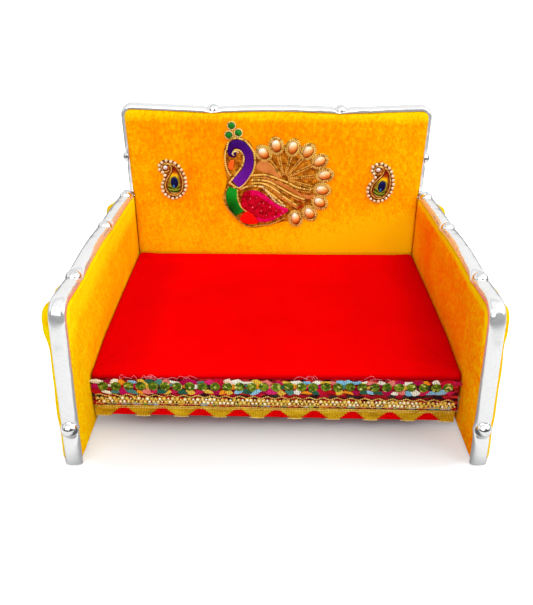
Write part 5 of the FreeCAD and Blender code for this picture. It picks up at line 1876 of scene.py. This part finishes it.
def make_brooch(side, name, turn, finishes):
    """One paisley brooch: plate, bead chain, bezels, enamel leaf, stone and clear bead."""
    plate_finish, bead_finish, gold, enamel_finish, stone_finish, clear = finishes
    cosine, sine = math.cos(math.radians(turn)), math.sin(math.radians(turn))
    middle_x, middle_z = paisley_spots[side]

    def place(share):
        """A place on the brooch, as width and height on the back."""
        return (middle_x + (share[0] * cosine - share[1] * sine) * paisley_height,
                middle_z + (share[0] * sine + share[1] * cosine) * paisley_height)

    def in_space(line, y):
        """A line on the brooch, as points in space."""
        return [Vector((place(s)[0], y, place(s)[1])) for s in line]

    plate_line = [(0.94 * x, 0.95 * z) for x, z in base_line]
    plate = drawn_flat(name + "_brooch_plate", [place(s) for s in plate_line], 1.0 * MM,
                       facing(back_front), 0.3 * MM, True)
    dress(smooth(plate, 50), plate_finish, "brooch_base", name + "_paisley_base")
    top = back_front - 1.0 * MM
    leaf = drawn_flat(name + "_brooch_leaf", [place(s) for s in enamel_line], 0.9 * MM,
                      facing(top), 0.3 * MM, True)
    softened(leaf, 0.32 * MM, 0.5, 4)
    centre = Vector(place((0.020, -0.02)))
    up = Vector((-sine, cosine))
    wide = Vector((cosine, sine))

    def rise_of(co, index):
        """How high up the leaf a point lies, bowed below."""
        spot = Vector((co.x, co.z)) - centre
        bow = (spot.dot(wide) / (6.5 * MM)) ** 2 * 0.10
        return 0.48 + spot.dot(up) / (24 * MM) - bow * (1 if spot.dot(up) < 0 else 0)

    def side_of(co, index):
        """How near the leaf's edge a point lies."""
        spot = Vector((co.x, co.z)) - centre
        high = spot.dot(up) / (12 * MM)
        reach = 6.4 * MM * (1 - 0.75 * max(0.0, high) ** 1.3)
        return min(1.5, abs(spot.dot(wide) + 0.02 * MM) / reach)

    tone(leaf, "run", rise_of)
    tone(leaf, "tone", side_of)
    dress(smooth(leaf, 60), enamel_finish, "brooch_enamel", name + "_paisley_enamel")
    stone_at = Vector(place((0.033, -0.058)))
    stone = ball(name + "_brooch_stone", 1, 32, 20)
    tone(stone, "run", lambda co, index: co.z)
    tone(stone, "tone", lambda co, index: co.x)
    stone.data.transform(Matrix.Translation((stone_at.x, top - 1.0 * MM, stone_at.y))
                         @ Matrix.Rotation(-math.radians(turn), 4, "Y")
                         @ Matrix.Diagonal((3.05 * MM, 1.5 * MM, 4.7 * MM, 1)))
    cut_behind(stone, top - 0.3 * MM)
    dress(smooth(stone, 50), stone_finish, "blue_stone", name + "_paisley_stone")
    halo = []
    for k in range(16):
        angle = full_turn * k / 16
        spot = stone_at + wide * 3.5 * MM * math.cos(angle) + up * 5.2 * MM * math.sin(angle)
        halo.append(Vector((spot.x, top - 1.0 * MM, spot.y)))
    rim = closed_line(name + "_brooch_halo", halo, 0.34 * MM)
    dress(rim, bpy.data.materials["lime_rim"], "brooch_enamel")
    bezel = closed_line(name + "_brooch_bezel", in_space(bezel_line, top - 0.35 * MM), 0.48 * MM)
    dress(bezel, gold, "brooch_base")
    curl = thin_lines(name + "_brooch_curl", [in_space(curl_line, top - 0.35 * MM)], 0.42 * MM)
    dress(curl, gold, "brooch_base")
    bead = ball("cup_bead", 1.36 * MM, 12, 8)
    luck = random.Random(41 + side)
    places = [Matrix.Translation((point.x + sway(luck, 0.12) * MM, point.y,
                                  point.z + sway(luck, 0.12) * MM))
              @ Matrix.Scale(luck.uniform(0.92, 1.08), 4)
              for point in in_space(bead_line, top - 0.25 * MM)]
    chain = smooth(copies(bead, places, name + "_brooch_beads"), 60)
    dress(chain, bead_finish, "brooch_bead", name + "_paisley_beads")
    eye = place((-0.158, 0.290))
    bpy.ops.mesh.primitive_ico_sphere_add(subdivisions=3, radius=2.0 * MM,
                                          location=(eye[0], top - 0.1 * MM, eye[1]))
    drop = smooth(plain_piece(name + "_brooch_drop"), 30)
    dress(drop, clear, "brooch_bead")


# Room


def seen_rays(mix):
    """1 for what the camera sees, straight or through a clear piece."""
    return mix.node("LightPath", "Is Camera Ray").math(
        "MAXIMUM", mix.node("LightPath", "Is Transmission Ray"))


def white_floor():
    """A pale floor that glows white past the shadow, and is dark and bright by turns in metal."""
    mix = Finish("white_floor")
    mix.look(mix.ramp(mix.cloud(3, 2, 0.5), (0.3, (0.585, 0.600, 0.610)),
                      (0.7, (0.605, 0.620, 0.630))), 0.9, 0.0)
    x, y, _ = mix.parts("SeparateXYZ", mix.where())
    wide, deep = x.math("ABSOLUTE") * (1 / 0.135), (y - 0.03).math("ABSOLUTE") * (1 / 0.15)
    spread = (wide.math("POWER", 7.0) + deep.math("POWER", 7.0)).math("POWER", 1 / 7)
    around = mix.ramp(0.5 * spread, (0.36, 0.0), (0.42, 0.18), (0.46, 0.28), (0.50, 0.34),
                      (0.57, 1.0))
    glow = mix.node("Emission", 0, Color=white, Strength=around * seen_rays(mix))
    lit = mix.node("AddShader", 0, Value(mix.tree, mix.shader.outputs[0]), glow)
    away = mix.node("VectorMath", "Value", mix.where(), operation="LENGTH")
    tint = mix.ramp(0.5 * away, (0.084, (0.12, 0.12, 0.13)), (0.095, 0.92), (0.19, 0.96),
                    (0.28, (0.30, 0.30, 0.31)), (0.9, (0.12, 0.12, 0.13)))
    mirrored = mix.node("Emission", 0, Color=tint, Strength=1.0)
    last = mix.node("MixShader", 0, mix.node("LightPath", "Is Glossy Ray"), lit, mirrored)
    join(mix.tree, last, mix.tree.nodes["Material Output"].inputs["Surface"])
    return mix.owner


def white_air():
    """Even white light, with the bands of a plain studio for metal to mirror."""
    world = bpy.data.worlds.new("air")
    bpy.context.scene.world = world
    mix = Finish("air", world)
    _, y, z = mix.parts("SeparateXYZ", mix.node("TexCoord", "Generated"))
    height = 0.5 * z + 0.5
    behind = mix.ramp(height, (0.490, (0.20, 0.20, 0.21)), (0.545, (0.24, 0.24, 0.25)),
                      (0.60, 0.86), (0.80, 0.95), (0.90, (0.62, 0.62, 0.63)), (0.97, 0.94))
    ahead = mix.ramp(height, (0.485, (0.06, 0.06, 0.07)), (0.72, (0.14, 0.14, 0.15)),
                     (0.80, 0.80), (0.87, 0.95), (0.97, 0.92))
    mirrored = mix.blend(mix.ramp(0.5 - 0.5 * y, (0.62, 0.0), (0.78, 1.0)), behind, ahead)
    seen = seen_rays(mix)
    glossy = seen.math("MAXIMUM", mix.node("LightPath", "Is Glossy Ray"))
    colour = mix.blend(glossy, white, mix.blend(seen, mirrored, white))
    air = mix.tree.nodes["Background"]
    join(mix.tree, colour, air.inputs["Color"])
    join(mix.tree, 0.45 * glossy + 0.55, air.inputs["Strength"])


def lamp(name, place, aim, size, power):
    """A large soft square lamp, aimed at a spot."""
    light = bpy.data.lights.new(name, "AREA")
    light.size = size
    light.energy = power
    holder = put(name, light)
    holder.location = place
    holder.rotation_euler = (Vector(aim) - Vector(place)).to_track_quat("-Z", "Y").to_euler()


def set_camera():
    """The photo's view: from the front, above the seat, turned a little."""
    camera = bpy.data.cameras.new("camera")
    camera.sensor_fit = "AUTO"
    camera.sensor_width = 24.0
    camera.lens = 27.33
    camera.shift_x, camera.shift_y = -0.0253, -0.0041
    camera.clip_start, camera.clip_end = 0.01, 20
    holder = put("camera", camera)
    yaw, pitch, roll = math.radians(0.96), math.radians(27.54), math.radians(0.68)
    forward = Vector((math.sin(yaw) * math.cos(pitch), math.cos(yaw) * math.cos(pitch),
                      -math.sin(pitch)))
    right = forward.cross(Vector((0, 0, 1))).normalized()
    up = right.cross(forward)
    turned_right = right * math.cos(roll) + up * math.sin(roll)
    turned_up = up * math.cos(roll) - right * math.sin(roll)
    place = Matrix((turned_right, turned_up, -forward)).transposed().to_4x4()
    place.translation = (-0.0038, -0.4482, 0.288)
    holder.matrix_world = place
    bpy.context.scene.camera = holder
    bpy.context.scene.view_settings.view_transform = "Standard"


def make_room():
    """A plain white floor and air, two large soft lamps, and the camera."""
    bpy.ops.mesh.primitive_plane_add(size=8, location=(0, 1.0, -0.0004))
    floor = plain_piece("floor")
    floor.data.materials.append(white_floor())
    white_air()
    lamp("window", (1.0, -0.30, 1.0), (0, 0, 0.06), 1.3, 13.0)
    lamp("front", (-0.45, -1.3, 1.15), (0, 0, 0.07), 1.5, 13.8)
    set_camera()


# The seat


make_room()

for finish, parts in ((pale_board(), ("back_board", "left_arm_board", "right_arm_board",
                                      "seat_board")),
                      (nail_wire(), ("back_nails", "seat_nails"))):
    for part in parts:
        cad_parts[part].data.materials.clear()
        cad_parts[part].data.materials.append(finish)
foam_sheet = pale_foam()

# Lit and shaded copies of one marigold velvet: the right arm's deeper orange copy is painted shade,
# the left arm's paler yellow copy painted light.
make_arm_cover(-1, "left", marigold_velvet(
    "marigold_left_lit", (0.93, 0.32, 0.0), (0.97, 0.51, 0.0), (0.98, 0.78, 0.003)), foam_sheet)
make_arm_cover(1, "right", marigold_velvet(
    "marigold_right_shaded", (1.0, 0.12, 0.0), (1.0, 0.23, 0.0), (1.0, 0.60, 0.001)), foam_sheet)
make_back_cover(marigold_velvet(
    "marigold_back", (0.94, 0.23, 0.0), (0.98, 0.36, 0.0), (0.98, 0.66, 0.002)), foam_sheet)
make_seat_cover(red_velvet(), foam_sheet)
make_trim(bright_trim("bright_trim", 0.68), bright_trim("bright_cap", 1.0))
make_front_lace()
make_gold_lace()
make_peacock()
glassy("lime_rim", (0.22, 0.24, 0.01), (0.50, 0.46, 0.04))
brooch_finishes = (dark_plate(), bead_chain(), brass_wire(), paisley_enamel(), navy_stone(),
                   clear_bead())
make_brooch(-1, "left", 0, brooch_finishes)
make_brooch(1, "right", -13, brooch_finishes)
